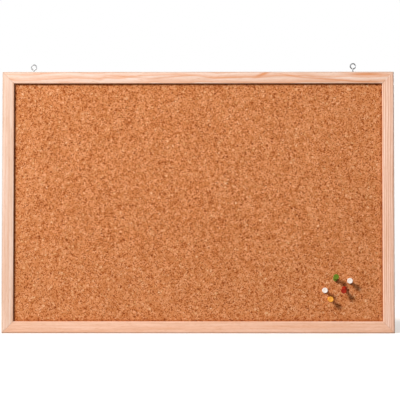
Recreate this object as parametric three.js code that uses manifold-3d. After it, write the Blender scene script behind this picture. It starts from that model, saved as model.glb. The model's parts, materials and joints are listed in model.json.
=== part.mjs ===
// A framed cork pin board: a mitred pine frame, a cork-faced panel held in its rebate by flat points,
// two wire screw eyes to hang it by, and five push pins. Millimetres, +Z up, front towards -Y.
// The rails' back faces lie in the wall plane Y = 0, and the origin is the middle of the top rail's back.

import * as THREE from 'three';
import { mergeVertices } from 'three/addons/utils/BufferGeometryUtils.js';
import Module from 'manifold-3d';

const wasm = await Module();
wasm.setup();

// Frame
const boardWidth = 600;
const boardHeight = 400;
const railWidth = 18;
const lipDepth = 3.6; // how far the frame stands proud of the cork
const lipReach = 6; // how far the lip overlaps the panel's edge
const outerEdgeRadius = 2.2;
const innerEdgeRadius = 1;
const backEdgeRadius = 1;
const mitreGap = 0.25;
const railArcSegments = 2;

// Panel
const corkThickness = 2.5;
const coreThickness = 6;
const backThickness = 2.2;
const glueLine = 0.1; // between layers, and from the panel to the lip and the points
const panelClearance = 0.5; // from the panel's edge to the rebate's wall

// Flat points that hold the panel in the rebate
const pointWidth = 6;
const pointThickness = 0.6;
const pointBite = 6; // length driven into the rail
const pointShow = 8; // length lying over the hardboard
const pointTip = 2.5;
const pointCover = 1.4; // from a point up to the rails' back face
const longRailPointCount = 3;
const shortRailPointCount = 2;

// V-shaped nails across the mitres, driven from the back
const mitreNailLeg = 2.8;
const mitreNailThickness = 0.5;
const mitreNailHeight = 9;
const mitreNailHalfAngle = THREE.MathUtils.degToRad(40);
const mitreNailSunk = 0.3;
const mitreNailInset = 2.2; // from the outer edges to the outer nail's bend
const mitreNailMargin = 1.5; // from the inner nail's tips to the rebate's wall

// Screw eyes
const eyeOuterRadius = 4.9;
const eyeWireRadius = 0.95;
const eyeBendRadius = 1.4; // where the stem turns into the ring
const eyeEndGap = 0.35; // from the stem to the ring's free end
const eyeCover = 1.5; // wood left beyond the tip
const eyePlainShank = 1.2; // length in the rail above the thread
const eyeOverlap = 0.8; // the wire's length inside the threaded shank
const eyeThreadRadius = 1.2;
const eyeRootRadius = 0.85;
const eyeThreadPitch = 1.3;
const eyePointLength = 2.2;
const eyeStepsPerTurn = 5;
const eyeSteps = 44;
const eyeSides = 10;
const leftEyeInset = 47.5; // from the board's left edge
const leftEyeStand = 2.8; // from the rail up to the ring
const rightEyeInset = 62; // from the board's right edge
const rightEyeStand = 4.3;

// Push pins
const gripLength = 12.4;
const gripEdge = 0.5;
const headRadius = 4.25;
const headThickness = 2.3;
const dishRadius = 2.9;
const dishDepth = 0.35;
const waistRadius = 2.1;
const waistHeight = 5.6; // from the flange's underside to the narrowest place
const flangeRadius = 3.8;
const flangeThickness = 1.6;
const needleRadius = 0.55;
const needlePoint = 2.4;
const needleSeat = 7; // length held in the grip
const needleCover = 1.2; // core left behind the tip of an upright needle
const needleClearance = 0.15; // from the needle to the grip's bore
const pinStandOff = 1; // from the cork to the flange's nearest edge, along the pin
const pinPressIn = 0.6; // how much further a pin can be pushed in
const pinSegments = 18;
const pinArcSegments = 2;

// Where each needle enters the cork, from the board's right and bottom edges, and how many degrees
// its grip leans to the right and upwards
const pins = [
  { name: 'green', color: 0x6f8a35, fromRight: 90.7, fromBottom: 81.9, leanRight: 2.7, leanUp: 18 },
  { name: 'white_upper', color: 0xf7f3ee, fromRight: 68.8, fromBottom: 79.4, leanRight: -2, leanUp: 3 },
  { name: 'red', color: 0xa8231a, fromRight: 76.4, fromBottom: 69.1, leanRight: -10, leanUp: -18 },
  { name: 'white_lower', color: 0xf7f3ee, fromRight: 106.5, fromBottom: 65.2, leanRight: -3, leanUp: 2 },
  { name: 'yellow', color: 0xf2a83e, fromRight: 98.8, fromBottom: 52.7, leanRight: 2, leanUp: -3 },
];

// Clearance round what is driven or screwed into a softer piece
const fitClearance = 0.3;
const holeSegments = 12;

// Depths from the front of the frame
const corkFront = lipDepth + glueLine;
const coreFront = corkFront + corkThickness + glueLine;
const backFront = coreFront + coreThickness + glueLine;
const pointFront = backFront + backThickness + glueLine;
const railDepth = pointFront + pointThickness + pointCover;

// Sizes that follow from the ones above
const rebateWall = railWidth - lipReach; // from the outer edge to the rebate's wall
const panelWidth = boardWidth - 2 * (rebateWall + panelClearance);
const panelHeight = boardHeight - 2 * (rebateWall + panelClearance);
const needleExposed = pinStandOff + corkThickness + glueLine + coreThickness - needleCover;
const slotHeight = pointThickness + 2 * fitClearance;
const mitreNailReach = mitreNailLeg * Math.sin(mitreNailHalfAngle + Math.PI / 4);
const eyeEndAngle = Math.asin((eyeWireRadius + eyeEndGap) / eyeOuterRadius); // from straight down
const eyeDepth = rebateWall - eyeCover;
const eyeHoleRadius = Math.max(eyeThreadRadius, eyeWireRadius) + fitClearance;
const eyeHoleDepth = eyeDepth + fitClearance;

const pine = { color: 0xf4c6ac, roughness: 0.6, metalness: 0 };
const cork = { color: 0xce8051, roughness: 0.95, metalness: 0 };
const softboard = { color: 0xb08a5e, roughness: 0.95, metalness: 0 };
const hardboard = { color: 0x6b4a33, roughness: 0.8, metalness: 0 };
const steel = { color: 0xa4a7aa, roughness: 0.4, metalness: 1 };
const brightSteel = { color: 0xcfd2d4, roughness: 0.25, metalness: 1 };

// Shared helpers

// Leaves only positions, joins vertices in the same place and drops triangles that this flattens.
function weld(geometry) {
  const bare = geometry.clone();
  bare.deleteAttribute('normal');
  bare.deleteAttribute('uv');
  const welded = mergeVertices(bare);
  const index = Array.from(welded.index.array);
  const kept = [];
  for (let i = 0; i < index.length; i += 3) {
    const [a, b, c] = index.slice(i, i + 3);
    if (a !== b && b !== c && c !== a) {
      kept.push(a, b, c);
    }
  }
  welded.setIndex(kept);
  welded.computeVertexNormals();
  return welded;
}

function solidOf(geometry) {
  const welded = weld(geometry);
  const vertProperties = new Float32Array(welded.attributes.position.array);
  const triVerts = new Uint32Array(welded.index.array);
  return new wasm.Manifold(new wasm.Mesh({ numProp: 3, vertProperties, triVerts }));
}

function geometryOf(solid) {
  const { vertProperties, triVerts } = solid.getMesh();
  const geometry = new THREE.BufferGeometry();
  geometry.setAttribute('position', new THREE.BufferAttribute(new Float32Array(vertProperties), 3));
  geometry.setIndex(Array.from(triVerts));
  geometry.computeVertexNormals();
  return geometry;
}

function cutAway(geometry, cutters) {
  let solid = solidOf(geometry);
  for (const cutter of cutters) {
    solid = solid.subtract(solidOf(cutter));
  }
  return geometryOf(solid);
}

function piece(name, geometry, finish) {
  const mesh = new THREE.Mesh(geometry, new THREE.MeshStandardMaterial(finish));
  mesh.name = name;
  return mesh;
}

// A plate whose outline is drawn in X and Z, and whose thickness runs from Y = 0 forwards.
function plate(shape, thickness) {
  const geometry = new THREE.ExtrudeGeometry(shape, { depth: thickness, bevelEnabled: false });
  return geometry.rotateX(Math.PI / 2);
}

// Each side of the frame is built as the top rail is: X runs along it, and Z = 0 is its outer edge.

function railProfile() {
  const quarter = Math.PI / 2;
  const innerRound = railWidth - innerEdgeRadius;
  const backRound = railDepth - backEdgeRadius;
  const profile = new THREE.Shape();
  profile.moveTo(0, backRound);
  profile.lineTo(0, outerEdgeRadius);
  profile.absarc(outerEdgeRadius, outerEdgeRadius, outerEdgeRadius, 2 * quarter, 3 * quarter, false);
  profile.absarc(innerRound, innerEdgeRadius, innerEdgeRadius, 3 * quarter, 4 * quarter, false);
  profile.lineTo(railWidth, lipDepth);
  profile.lineTo(rebateWall, lipDepth);
  profile.lineTo(rebateWall, railDepth);
  profile.absarc(backEdgeRadius, backRound, backEdgeRadius, quarter, 2 * quarter, false);
  return profile;
}

// A rail blank, its ends drawn in by each point's distance from the outer edge to make the mitres.
function railBlank(length) {
  const settings = { depth: length, bevelEnabled: false, curveSegments: railArcSegments };
  const geometry = new THREE.ExtrudeGeometry(railProfile(), settings);
  const position = geometry.attributes.position;
  const endGap = mitreGap / Math.SQRT2;
  for (let i = 0; i < position.count; i += 1) {
    const inward = position.getX(i);
    const along = position.getZ(i) / length - 0.5;
    const depth = position.getY(i) - railDepth;
    position.setXYZ(i, along * (length - 2 * (inward + endGap)), depth, -inward);
  }
  return geometry;
}

function mitreNail(thickness, leg, height) {
  const along = new THREE.Vector2(Math.cos(mitreNailHalfAngle), Math.sin(mitreNailHalfAngle));
  const across = new THREE.Vector2(-along.y, along.x).multiplyScalar(thickness / 2);
  const apex = thickness / 2 / along.y;
  const outerTip = along.clone().multiplyScalar(leg).add(across);
  const innerTip = along.clone().multiplyScalar(leg).sub(across);
  const shape = new THREE.Shape();
  shape.moveTo(-apex, 0);
  shape.lineTo(outerTip.x, -outerTip.y);
  shape.lineTo(innerTip.x, -innerTip.y);
  shape.lineTo(apex, 0);
  shape.lineTo(innerTip.x, innerTip.y);
  shape.lineTo(outerTip.x, outerTip.y);
  shape.closePath();
  return plate(shape, height);
}

// The pocket starts behind the rail's back face, so that it is open there.
function mitreNailPocket() {
  const leg = mitreNailLeg + fitClearance;
  const height = mitreNailSunk + mitreNailHeight + 2 * fitClearance;
  return mitreNail(mitreNailThickness + 2 * fitClearance, leg, height).translate(0, fitClearance, 0);
}

const mitreNailPlaces = [
  { name: 'outer', inset: mitreNailInset },
  { name: 'inner', inset: rebateWall - mitreNailMargin - mitreNailReach },
];

function panelPoint() {
  const halfWidth = pointWidth / 2;
  const shape = new THREE.Shape();
  shape.moveTo(-halfWidth, -rebateWall - pointShow);
  shape.lineTo(halfWidth, -rebateWall - pointShow);
  shape.lineTo(halfWidth, -rebateWall + pointBite - pointTip);
  shape.lineTo(0, -rebateWall + pointBite);
  shape.lineTo(-halfWidth, -rebateWall + pointBite - pointTip);
  shape.closePath();
  return plate(shape, pointThickness).translate(0, -pointCover, 0);
}

function panelPointSlot(along) {
  const width = pointWidth + 2 * fitClearance;
  const length = pointBite + pointShow;
  const slot = new THREE.BoxGeometry(width, slotHeight, length);
  const depth = -pointCover - pointThickness / 2;
  return slot.translate(along, depth, -rebateWall + pointBite + fitClearance - length / 2);
}

function pointPlaces(length, count) {
  const places = [];
  for (let i = 0; i < count; i += 1) {
    places.push(length * ((i + 0.5) / count - 0.5));
  }
  return places;
}

// Screw eyes

const eyes = [
  { name: 'screw_eye_left', along: -boardWidth / 2 + leftEyeInset, stand: leftEyeStand },
  { name: 'screw_eye_right', along: boardWidth / 2 - rightEyeInset, stand: rightEyeStand },
];

// The wire's centre line: up the stem, round a bend to the right, and round the ring to its free end.
class EyeWire extends THREE.Curve {
  constructor(stand) {
    super();
    this.ringRadius = eyeOuterRadius - eyeWireRadius;
    this.ringCentre = stand + eyeOuterRadius;
    this.startAngle = Math.asin(eyeBendRadius / (this.ringRadius + eyeBendRadius));
    this.bendStart = this.ringCentre - (this.ringRadius + eyeBendRadius) * Math.cos(this.startAngle);
    this.foot = -eyePlainShank - eyeOverlap;
    this.stemLength = this.bendStart - this.foot;
    this.bendLength = eyeBendRadius * (Math.PI / 2 - this.startAngle);
    this.ringLength = this.ringRadius * (2 * Math.PI - eyeEndAngle - this.startAngle);
  }

  getPoint(t, target = new THREE.Vector3()) {
    const run = t * (this.stemLength + this.bendLength + this.ringLength);
    if (run <= this.stemLength) {
      return target.set(0, 0, this.foot + run);
    }
    if (run <= this.stemLength + this.bendLength) {
      const turn = (run - this.stemLength) / eyeBendRadius;
      const x = eyeBendRadius * (1 - Math.cos(turn));
      return target.set(x, 0, this.bendStart + eyeBendRadius * Math.sin(turn));
    }
    const angle = this.startAngle + (run - this.stemLength - this.bendLength) / this.ringRadius;
    const x = this.ringRadius * Math.sin(angle);
    return target.set(x, 0, this.ringCentre - this.ringRadius * Math.cos(angle));
  }
}

// The shank below the plain wire: a helical ridge on a root that narrows to a point.
function eyeThread() {
  const length = eyeDepth - eyePlainShank;
  const rings = Math.ceil((length / eyeThreadPitch) * eyeStepsPerTurn);
  const profile = [new THREE.Vector2(0, 0)];
  for (let i = 1; i <= rings; i += 1) {
    profile.push(new THREE.Vector2(1, (length * i) / rings));
  }
  profile.push(new THREE.Vector2(0, length));
  const geometry = new THREE.LatheGeometry(profile, eyeSides);
  const position = geometry.attributes.position;
  for (let i = 0; i < position.count; i += 1) {
    const height = position.getY(i);
    const angle = Math.atan2(position.getZ(i), position.getX(i));
    const ridge = 0.5 + 0.5 * Math.cos((2 * Math.PI * height) / eyeThreadPitch - angle);
    const taper = Math.min(1, height / eyePointLength);
    const radius = taper * (eyeRootRadius + (eyeThreadRadius - eyeRootRadius) * ridge);
    position.setXYZ(i, position.getX(i) * radius, height, position.getZ(i) * radius);
  }
  return geometry.rotateX(Math.PI / 2).translate(0, 0, -eyeDepth);
}

function screwEye(stand) {
  const section = new THREE.Shape();
  section.absarc(0, 0, eyeWireRadius, 0, 2 * Math.PI, false);
  const settings = { steps: eyeSteps, curveSegments: eyeSides / 2, extrudePath: new EyeWire(stand) };
  const wire = new THREE.ExtrudeGeometry(section, settings);
  return geometryOf(solidOf(wire).add(solidOf(eyeThread())));
}

function eyeHole(along) {
  const length = eyeHoleDepth + railWidth;
  const hole = new THREE.CylinderGeometry(eyeHoleRadius, eyeHoleRadius, length, holeSegments);
  return hole.rotateX(Math.PI / 2).translate(along, -railDepth / 2, length / 2 - eyeHoleDepth);
}

// Sides of the frame, clockwise from the top as seen from the front

const sides = [
  { name: 'top', length: boardWidth, reach: boardHeight / 2, points: longRailPointCount, eyes },
  { name: 'right', length: boardHeight, reach: boardWidth / 2, points: shortRailPointCount, eyes: [] },
  { name: 'bottom', length: boardWidth, reach: boardHeight / 2, points: longRailPointCount, eyes: [] },
  { name: 'left', length: boardHeight, reach: boardWidth / 2, points: shortRailPointCount, eyes: [] },
];
const corners = ['top_left', 'top_right', 'bottom_right', 'bottom_left'];

function rail(side) {
  const cutters = side.eyes.map((eye) => eyeHole(eye.along));
  for (const along of pointPlaces(side.length, side.points)) {
    cutters.push(panelPointSlot(along));
  }
  for (const { inset } of mitreNailPlaces) {
    const atStart = mitreNailPocket().rotateY(Math.PI / 4);
    const atEnd = mitreNailPocket().rotateY((3 * Math.PI) / 4);
    cutters.push(atStart.translate(inset - side.length / 2, 0, -inset));
    cutters.push(atEnd.translate(side.length / 2 - inset, 0, -inset));
  }
  return piece(`${side.name}_rail`, cutAway(railBlank(side.length), cutters), pine);
}

function frameSide(side, quarterTurns) {
  const edge = new THREE.Group();
  edge.position.z = side.reach;
  edge.add(rail(side));
  for (const { name, inset } of mitreNailPlaces) {
    const geometry = weld(mitreNail(mitreNailThickness, mitreNailLeg, mitreNailHeight));
    const nail = piece(`mitre_nail_${corners[quarterTurns]}_${name}`, geometry, steel);
    nail.position.set(inset - side.length / 2, -mitreNailSunk, -inset);
    nail.rotation.y = Math.PI / 4;
    edge.add(nail);
  }
  pointPlaces(side.length, side.points).forEach((along, i) => {
    const point = piece(`panel_point_${side.name}_${i + 1}`, weld(panelPoint()), steel);
    point.position.x = along;
    edge.add(point);
  });
  for (const eye of side.eyes) {
    const mesh = piece(eye.name, screwEye(eye.stand), brightSteel);
    mesh.position.set(eye.along, -railDepth / 2, 0);
    edge.add(mesh);
  }
  const turned = new THREE.Group();
  turned.rotation.y = (quarterTurns * Math.PI) / 2;
  turned.add(edge);
  return turned;
}

// Push pins: the grip's axis is local +Y, from the flange's underside out to the head.

function pinFrame(pin) {
  const slopeRight = Math.tan(THREE.MathUtils.degToRad(pin.leanRight));
  const slopeUp = Math.tan(THREE.MathUtils.degToRad(pin.leanUp));
  const outward = new THREE.Vector3(slopeRight, -1, slopeUp).normalize();
  const standOff = pinStandOff + flangeRadius * Math.hypot(slopeRight, slopeUp);
  const entryX = boardWidth / 2 - pin.fromRight;
  const entryZ = pin.fromBottom - boardHeight / 2;
  const entry = new THREE.Vector3(entryX, corkFront - railDepth, entryZ);
  const origin = entry.addScaledVector(outward, standOff);
  const turn = new THREE.Quaternion().setFromUnitVectors(new THREE.Vector3(0, 1, 0), outward);
  return new THREE.Matrix4().compose(origin, turn, new THREE.Vector3(1, 1, 1));
}

function gripGeometry() {
  const boreRadius = needleRadius + needleClearance;
  const boreTop = needleSeat + needleClearance;
  const headUnder = gripLength - headThickness;
  const headRound = headRadius - gripEdge;
  const flangeRound = flangeRadius - gripEdge;
  const quarter = Math.PI / 2;
  const profile = new THREE.Path();
  profile.moveTo(0, boreTop);
  profile.lineTo(boreRadius, boreTop);
  profile.lineTo(boreRadius, 0);
  profile.lineTo(flangeRound, 0);
  profile.absarc(flangeRound, gripEdge, gripEdge, -quarter, 0, false);
  profile.absarc(flangeRound, flangeThickness - gripEdge, gripEdge, 0, quarter, false);
  profile.quadraticCurveTo(waistRadius, flangeThickness, waistRadius, waistHeight);
  profile.quadraticCurveTo(waistRadius, headUnder, headRound, headUnder);
  profile.absarc(headRound, headUnder + gripEdge, gripEdge, -quarter, 0, false);
  profile.absarc(headRound, gripLength - gripEdge, gripEdge, 0, quarter, false);
  profile.lineTo(dishRadius, gripLength);
  profile.quadraticCurveTo(dishRadius / 2, gripLength - dishDepth, 0, gripLength - dishDepth);
  return weld(new THREE.LatheGeometry(profile.getPoints(pinArcSegments), pinSegments));
}

function needleGeometry() {
  const profile = [
    new THREE.Vector2(0, -needleExposed),
    new THREE.Vector2(needleRadius, needlePoint - needleExposed),
    new THREE.Vector2(needleRadius, needleSeat),
    new THREE.Vector2(0, needleSeat),
  ];
  return weld(new THREE.LatheGeometry(profile, holeSegments));
}

// The hole that a needle makes, long enough for the pin to be pushed home.
function needleHole(pin) {
  const radius = needleRadius + fitClearance;
  const inner = needleExposed + pinPressIn + fitClearance;
  const length = inner + gripLength;
  const hole = new THREE.CylinderGeometry(radius, radius, length, holeSegments);
  return hole.translate(0, length / 2 - inner, 0).applyMatrix4(pinFrame(pin));
}

function pushPin(pin) {
  const group = new THREE.Group();
  pinFrame(pin).decompose(group.position, group.quaternion, group.scale);
  const plastic = { color: pin.color, roughness: 0.3, metalness: 0 };
  group.add(piece(`pin_${pin.name}_grip`, gripGeometry(), plastic));
  group.add(piece(`pin_${pin.name}_needle`, needleGeometry(), brightSteel));
  return group;
}

// The panel's layers, from a depth below the front of the frame

function panelLayer(name, front, thickness, holes, finish) {
  const sheet = new THREE.BoxGeometry(panelWidth, thickness, panelHeight);
  sheet.translate(0, front + thickness / 2 - railDepth, 0);
  return piece(name, cutAway(sheet, holes), finish);
}

// The whole board, about its centre and then moved so that the origin is the top rail's back

const board = new THREE.Group();
board.position.z = (railWidth - boardHeight) / 2;
sides.forEach((side, quarterTurns) => board.add(frameSide(side, quarterTurns)));
board.add(panelLayer('cork_sheet', corkFront, corkThickness, pins.map(needleHole), cork));
board.add(panelLayer('softboard_core', coreFront, coreThickness, pins.map(needleHole), softboard));
board.add(panelLayer('hardboard_back', backFront, backThickness, [], hardboard));
for (const pin of pins) {
  board.add(pushPin(pin));
}

export default board;
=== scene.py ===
"""Looks of the framed cork pin board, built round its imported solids.

Every piece is a numpy surface in metres, in the part's own frame: +X runs to the right as the board is
seen, +Z up, the cork faces -Y, and the rails' backs lie in the wall plane Y = 0.
"""

import json
import logging
import math
from dataclasses import dataclass, field
from enum import Enum
from typing import Any, Sequence

import bmesh
import bpy
import numpy as np
from mathutils import Euler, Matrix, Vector


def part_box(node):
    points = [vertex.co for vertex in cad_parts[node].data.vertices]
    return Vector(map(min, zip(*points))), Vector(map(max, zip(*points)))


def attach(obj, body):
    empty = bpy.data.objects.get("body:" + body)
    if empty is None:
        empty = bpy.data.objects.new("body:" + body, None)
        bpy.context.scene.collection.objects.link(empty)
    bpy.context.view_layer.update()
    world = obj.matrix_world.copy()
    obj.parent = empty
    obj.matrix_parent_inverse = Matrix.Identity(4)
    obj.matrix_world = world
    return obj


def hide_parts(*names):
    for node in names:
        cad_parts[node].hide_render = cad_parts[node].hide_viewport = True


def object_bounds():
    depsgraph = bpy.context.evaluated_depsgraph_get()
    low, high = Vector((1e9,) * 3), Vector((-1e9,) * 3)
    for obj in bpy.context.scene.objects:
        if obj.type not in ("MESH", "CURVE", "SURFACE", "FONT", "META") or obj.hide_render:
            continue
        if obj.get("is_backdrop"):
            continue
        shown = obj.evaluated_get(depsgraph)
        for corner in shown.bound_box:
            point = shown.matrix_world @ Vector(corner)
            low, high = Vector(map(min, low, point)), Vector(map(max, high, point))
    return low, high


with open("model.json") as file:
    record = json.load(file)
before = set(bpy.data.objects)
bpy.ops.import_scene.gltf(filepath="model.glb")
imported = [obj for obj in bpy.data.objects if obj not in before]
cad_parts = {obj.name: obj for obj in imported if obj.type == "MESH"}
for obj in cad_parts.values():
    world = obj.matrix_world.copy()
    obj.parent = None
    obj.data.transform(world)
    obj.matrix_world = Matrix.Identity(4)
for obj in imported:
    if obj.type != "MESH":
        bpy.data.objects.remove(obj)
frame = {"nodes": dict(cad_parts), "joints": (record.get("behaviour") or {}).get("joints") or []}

MM = 0.001
QUARTER = math.pi / 2
GRAIN_UV = "grain"
# Mesh attribute: each point's share of edge wear and of painted shade
WEAR_AND_SHADE_ATTRIBUTE = "eased_edge"
MERGE_DISTANCE = 0.0005 * MM
SHARP_ANGLE = math.radians(38)
PANEL_CLEARANCE = 0.5 * MM
LOG = logging.getLogger("pin_board")

# Where most of a noise's values lie
NOISE_LOW = 0.3
NOISE_HIGH = 0.7

# Numbers of a Mix node's sockets for colours, and of a Map Range node's limits
MIX_A = 6
MIX_B = 7
MIX_RESULT = 2
FROM_LOW = 1
FROM_HIGH = 2
TO_LOW = 3
TO_HIGH = 4

Array = np.ndarray
Colour = tuple[float, float, float, float]
Stops = Sequence[tuple[float, Colour]]
Relief = tuple[tuple[float, float], ...]
Tree = bpy.types.NodeTree
Socket = bpy.types.NodeSocket
Material = bpy.types.Material
Piece = bpy.types.Object


def linear(hex_colour: str) -> Colour:
    """Turns an sRGB hex colour into linear light.

    Each channel c becomes c / 12.92 up to 0.04045, and ((c + 0.055) / 1.055) ** 2.4 above it.

    Args:
        hex_colour: six hex digits after a hash sign.

    Returns:
        Red, green, blue and an alpha of 1.
    """
    code = hex_colour.lstrip("#")
    srgb = np.array([int(code[i:i + 2], 16) for i in (0, 2, 4)]) / 255
    light = np.where(srgb <= 0.04045, srgb / 12.92, ((srgb + 0.055) / 1.055) ** 2.4)
    return (float(light[0]), float(light[1]), float(light[2]), 1.0)


def grey(level: float) -> Colour:
    """Returns a neutral linear colour of that level."""
    return (level, level, level, 1.0)


def tint(red: float, green: float, blue: float) -> Colour:
    """Returns a tone that multiplies a colour's red, green and blue by these shares."""
    return (red, green, blue, 1.0)


def over_noise(low: Colour, high: Colour) -> Stops:
    """Returns ramp stops from low to high over the range of most of a noise's values."""
    return ((NOISE_LOW, low), (NOISE_HIGH, high))


def per_metre(size_mm: float) -> float:
    """Returns the texture scale that makes a pattern's cells size_mm wide on coordinates in metres."""
    return 1.0 / (size_mm * MM)


def connect(tree: Tree, node: Any, inputs: dict[Any, Any]) -> None:
    """Gives a node's inputs their values and links.

    Args:
        tree: node tree that holds the node.
        node: the node.
        inputs: an input's name or number, and its value or the socket that feeds it.
    """
    for key, value in inputs.items():
        if isinstance(value, Socket):
            tree.links.new(value, node.inputs[key])
        else:
            node.inputs[key].default_value = value


def add_node(
    tree: Tree, kind: str, inputs: dict[Any, Any] | None = None, stops: Stops = (), **settings: Any
) -> Any:
    """Adds a node with its settings, values and links.

    Args:
        tree: node tree of a material or world.
        kind: the node's type name, after the common first part.
        inputs: an input's name or number, and its value or the socket that feeds it.
        stops: place and colour of each stop of a colour ramp, in order.
        settings: the node's own properties.

    Returns:
        The new node.
    """
    node = tree.nodes.new(f"ShaderNode{kind}")
    for key, value in settings.items():
        setattr(node, key, value)
    connect(tree, node, inputs or {})
    if stops:
        elements = node.color_ramp.elements
        while len(elements) < len(stops):
            elements.new(1.0)
        for element, (place, colour) in zip(elements, stops):
            element.position = place
            element.color = colour
    return node


def overlaid(tree: Tree, under: Any, over: Colour, mask: Socket, strength: float) -> Socket:
    """Lays a colour over another one where a mask says.

    Args:
        tree: the material's node tree.
        under: the first colour, or the socket that gives it.
        over: the colour on top.
        mask: where the second colour lies, from 0 to 1.
        strength: how far it covers the first one there.

    Returns:
        The new colour's socket.
    """
    share = add_node(tree, "Math", {0: mask, 1: strength}, operation="MULTIPLY")
    inputs = {0: share.outputs[0], MIX_A: under, MIX_B: over}
    return add_node(tree, "Mix", inputs, data_type="RGBA").outputs[MIX_RESULT]


def toned(tree: Tree, colour: Any, value: Socket, tones: Stops, share: Any = 1.0) -> Socket:
    """Multiplies a colour by a tone that follows a value.

    Args:
        tree: the material's node tree.
        colour: the colour, or the socket that gives it.
        value: the value that the tone follows.
        tones: ramp stops from the value to the tone.
        share: how far the tone counts, or the socket that gives it.

    Returns:
        The new colour's socket.
    """
    tone = add_node(tree, "ValToRGB", {"Fac": value}, tones)
    inputs = {0: share, MIX_A: colour, MIX_B: tone.outputs["Color"]}
    return add_node(tree, "Mix", inputs, data_type="RGBA", blend_type="MULTIPLY").outputs[MIX_RESULT]


def new_material(name: str) -> tuple[Material, Tree, Any]:
    """Makes an empty node material.

    Args:
        name: the real material's name.

    Returns:
        The material, its node tree and its Principled shader.
    """
    material = bpy.data.materials.new(name)
    material.use_nodes = True
    return material, material.node_tree, material.node_tree.nodes["Principled BSDF"]


def unit(vectors: Array) -> Array:
    """Returns vectors scaled to length 1 along their last axis."""
    return vectors / np.linalg.norm(vectors, axis=-1, keepdims=True)


def spun(x: Array, z: Array, angle: float) -> tuple[Array, Array]:
    """Returns x and z turned about Y by an angle. A quarter turn takes (x, z) to (z, -x)."""
    return x * math.cos(angle) + z * math.sin(angle), z * math.cos(angle) - x * math.sin(angle)


def rounded_outline(corners: Array, radii: Array, steps: int) -> Array:
    """Rounds the corners of a closed outline.

    At each corner P the arc's centre lies on the bisector at radius / sin(half angle), it touches the two
    sides at radius / tan(half angle) from P, and its points swing evenly from one touch point to the other.

    Args:
        corners: (n, 2) corner points in order.
        radii: (n,) radius of each corner.
        steps: points on each arc.

    Returns:
        (n * steps, 2) points of the outline.
    """
    back = unit(np.roll(corners, 1, axis=0) - corners)
    ahead = unit(np.roll(corners, -1, axis=0) - corners)
    half = np.arccos(np.clip((back * ahead).sum(1), -1, 1))[:, None] / 2
    reach = radii[:, None] / np.tan(half)
    centre = corners + unit(back + ahead) * radii[:, None] / np.sin(half)
    first = corners + back * reach - centre
    last = corners + ahead * reach - centre
    swing = (math.pi - 2 * half)[:, None, :]
    share = np.linspace(0, 1, steps)[None, :, None]
    sweep = np.sin((1 - share) * swing) * first[:, None] + np.sin(share * swing) * last[:, None]
    return (centre[:, None] + sweep / np.sin(swing)).reshape(-1, 2)


def bezier(start: Sequence[float], pull: Sequence[float], end: Sequence[float], steps: int) -> Array:
    """Returns (steps, 2) points of the curve (1-t)^2 start + 2t(1-t) pull + t^2 end."""
    t = np.linspace(0, 1, steps)[:, None]
    return (1 - t) ** 2 * np.array(start) + 2 * t * (1 - t) * np.array(pull) + t ** 2 * np.array(end)


def arc(centre: Sequence[float], radius: float, start: float, end: float, steps: int) -> Array:
    """Returns (steps, 2) points at radius round centre, from angle start to angle end."""
    angle = np.linspace(start, end, steps)
    return np.array(centre) + radius * np.stack([np.cos(angle), np.sin(angle)], axis=1)


def carry(path: Array, across: Array, side: Array, up: Array) -> Array:
    """Carries a section along a path: point = path + across[0] * side + across[1] * up.

    Args:
        path: (rows, 3) points of the path.
        across: (rows, columns, 2) or (1, columns, 2) section, in metres.
        side: (rows, 3) or (1, 3) direction of the section's first coordinate.
        up: (rows, 3) or (1, 3) direction of the section's second coordinate.

    Returns:
        (rows, columns, 3) points.
    """
    return path[:, None] + across[..., :1] * side[:, None] + across[..., 1:] * up[:, None]


def close_ends(points: Array) -> Array:
    """Adds a row at each end, gathered at that end's middle, so that a carried section closes.

    Args:
        points: (rows, columns, 3) carried section.

    Returns:
        (rows + 2, columns, 3) points.
    """
    middle = points.mean(axis=1, keepdims=True)
    first = np.repeat(middle[:1], points.shape[1], axis=1)
    last = np.repeat(middle[-1:], points.shape[1], axis=1)
    return np.concatenate([first, points, last])


def value_noise(x: Array, z: Array, cell: float, seed: int) -> Array:
    """Makes smooth heights from -1 to 1: a random lattice of that cell size, blended by 3t^2 - 2t^3.

    Args:
        x: coordinates, any shape.
        z: coordinates, the same shape.
        cell: lattice spacing in metres.
        seed: seed of the lattice.

    Returns:
        Heights, the same shape.
    """
    px = (x - x.min()) / cell
    pz = (z - z.min()) / cell
    ix = np.floor(px).astype(int)
    iz = np.floor(pz).astype(int)
    lattice = np.random.default_rng(seed).uniform(-1, 1, (ix.max() + 2, iz.max() + 2))
    tx = (px - ix) ** 2 * (3 - 2 * (px - ix))
    tz = (pz - iz) ** 2 * (3 - 2 * (pz - iz))
    low = lattice[ix, iz] * (1 - tx) + lattice[ix + 1, iz] * tx
    high = lattice[ix, iz + 1] * (1 - tx) + lattice[ix + 1, iz + 1] * tx
    return low * (1 - tz) + high * tz


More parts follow.
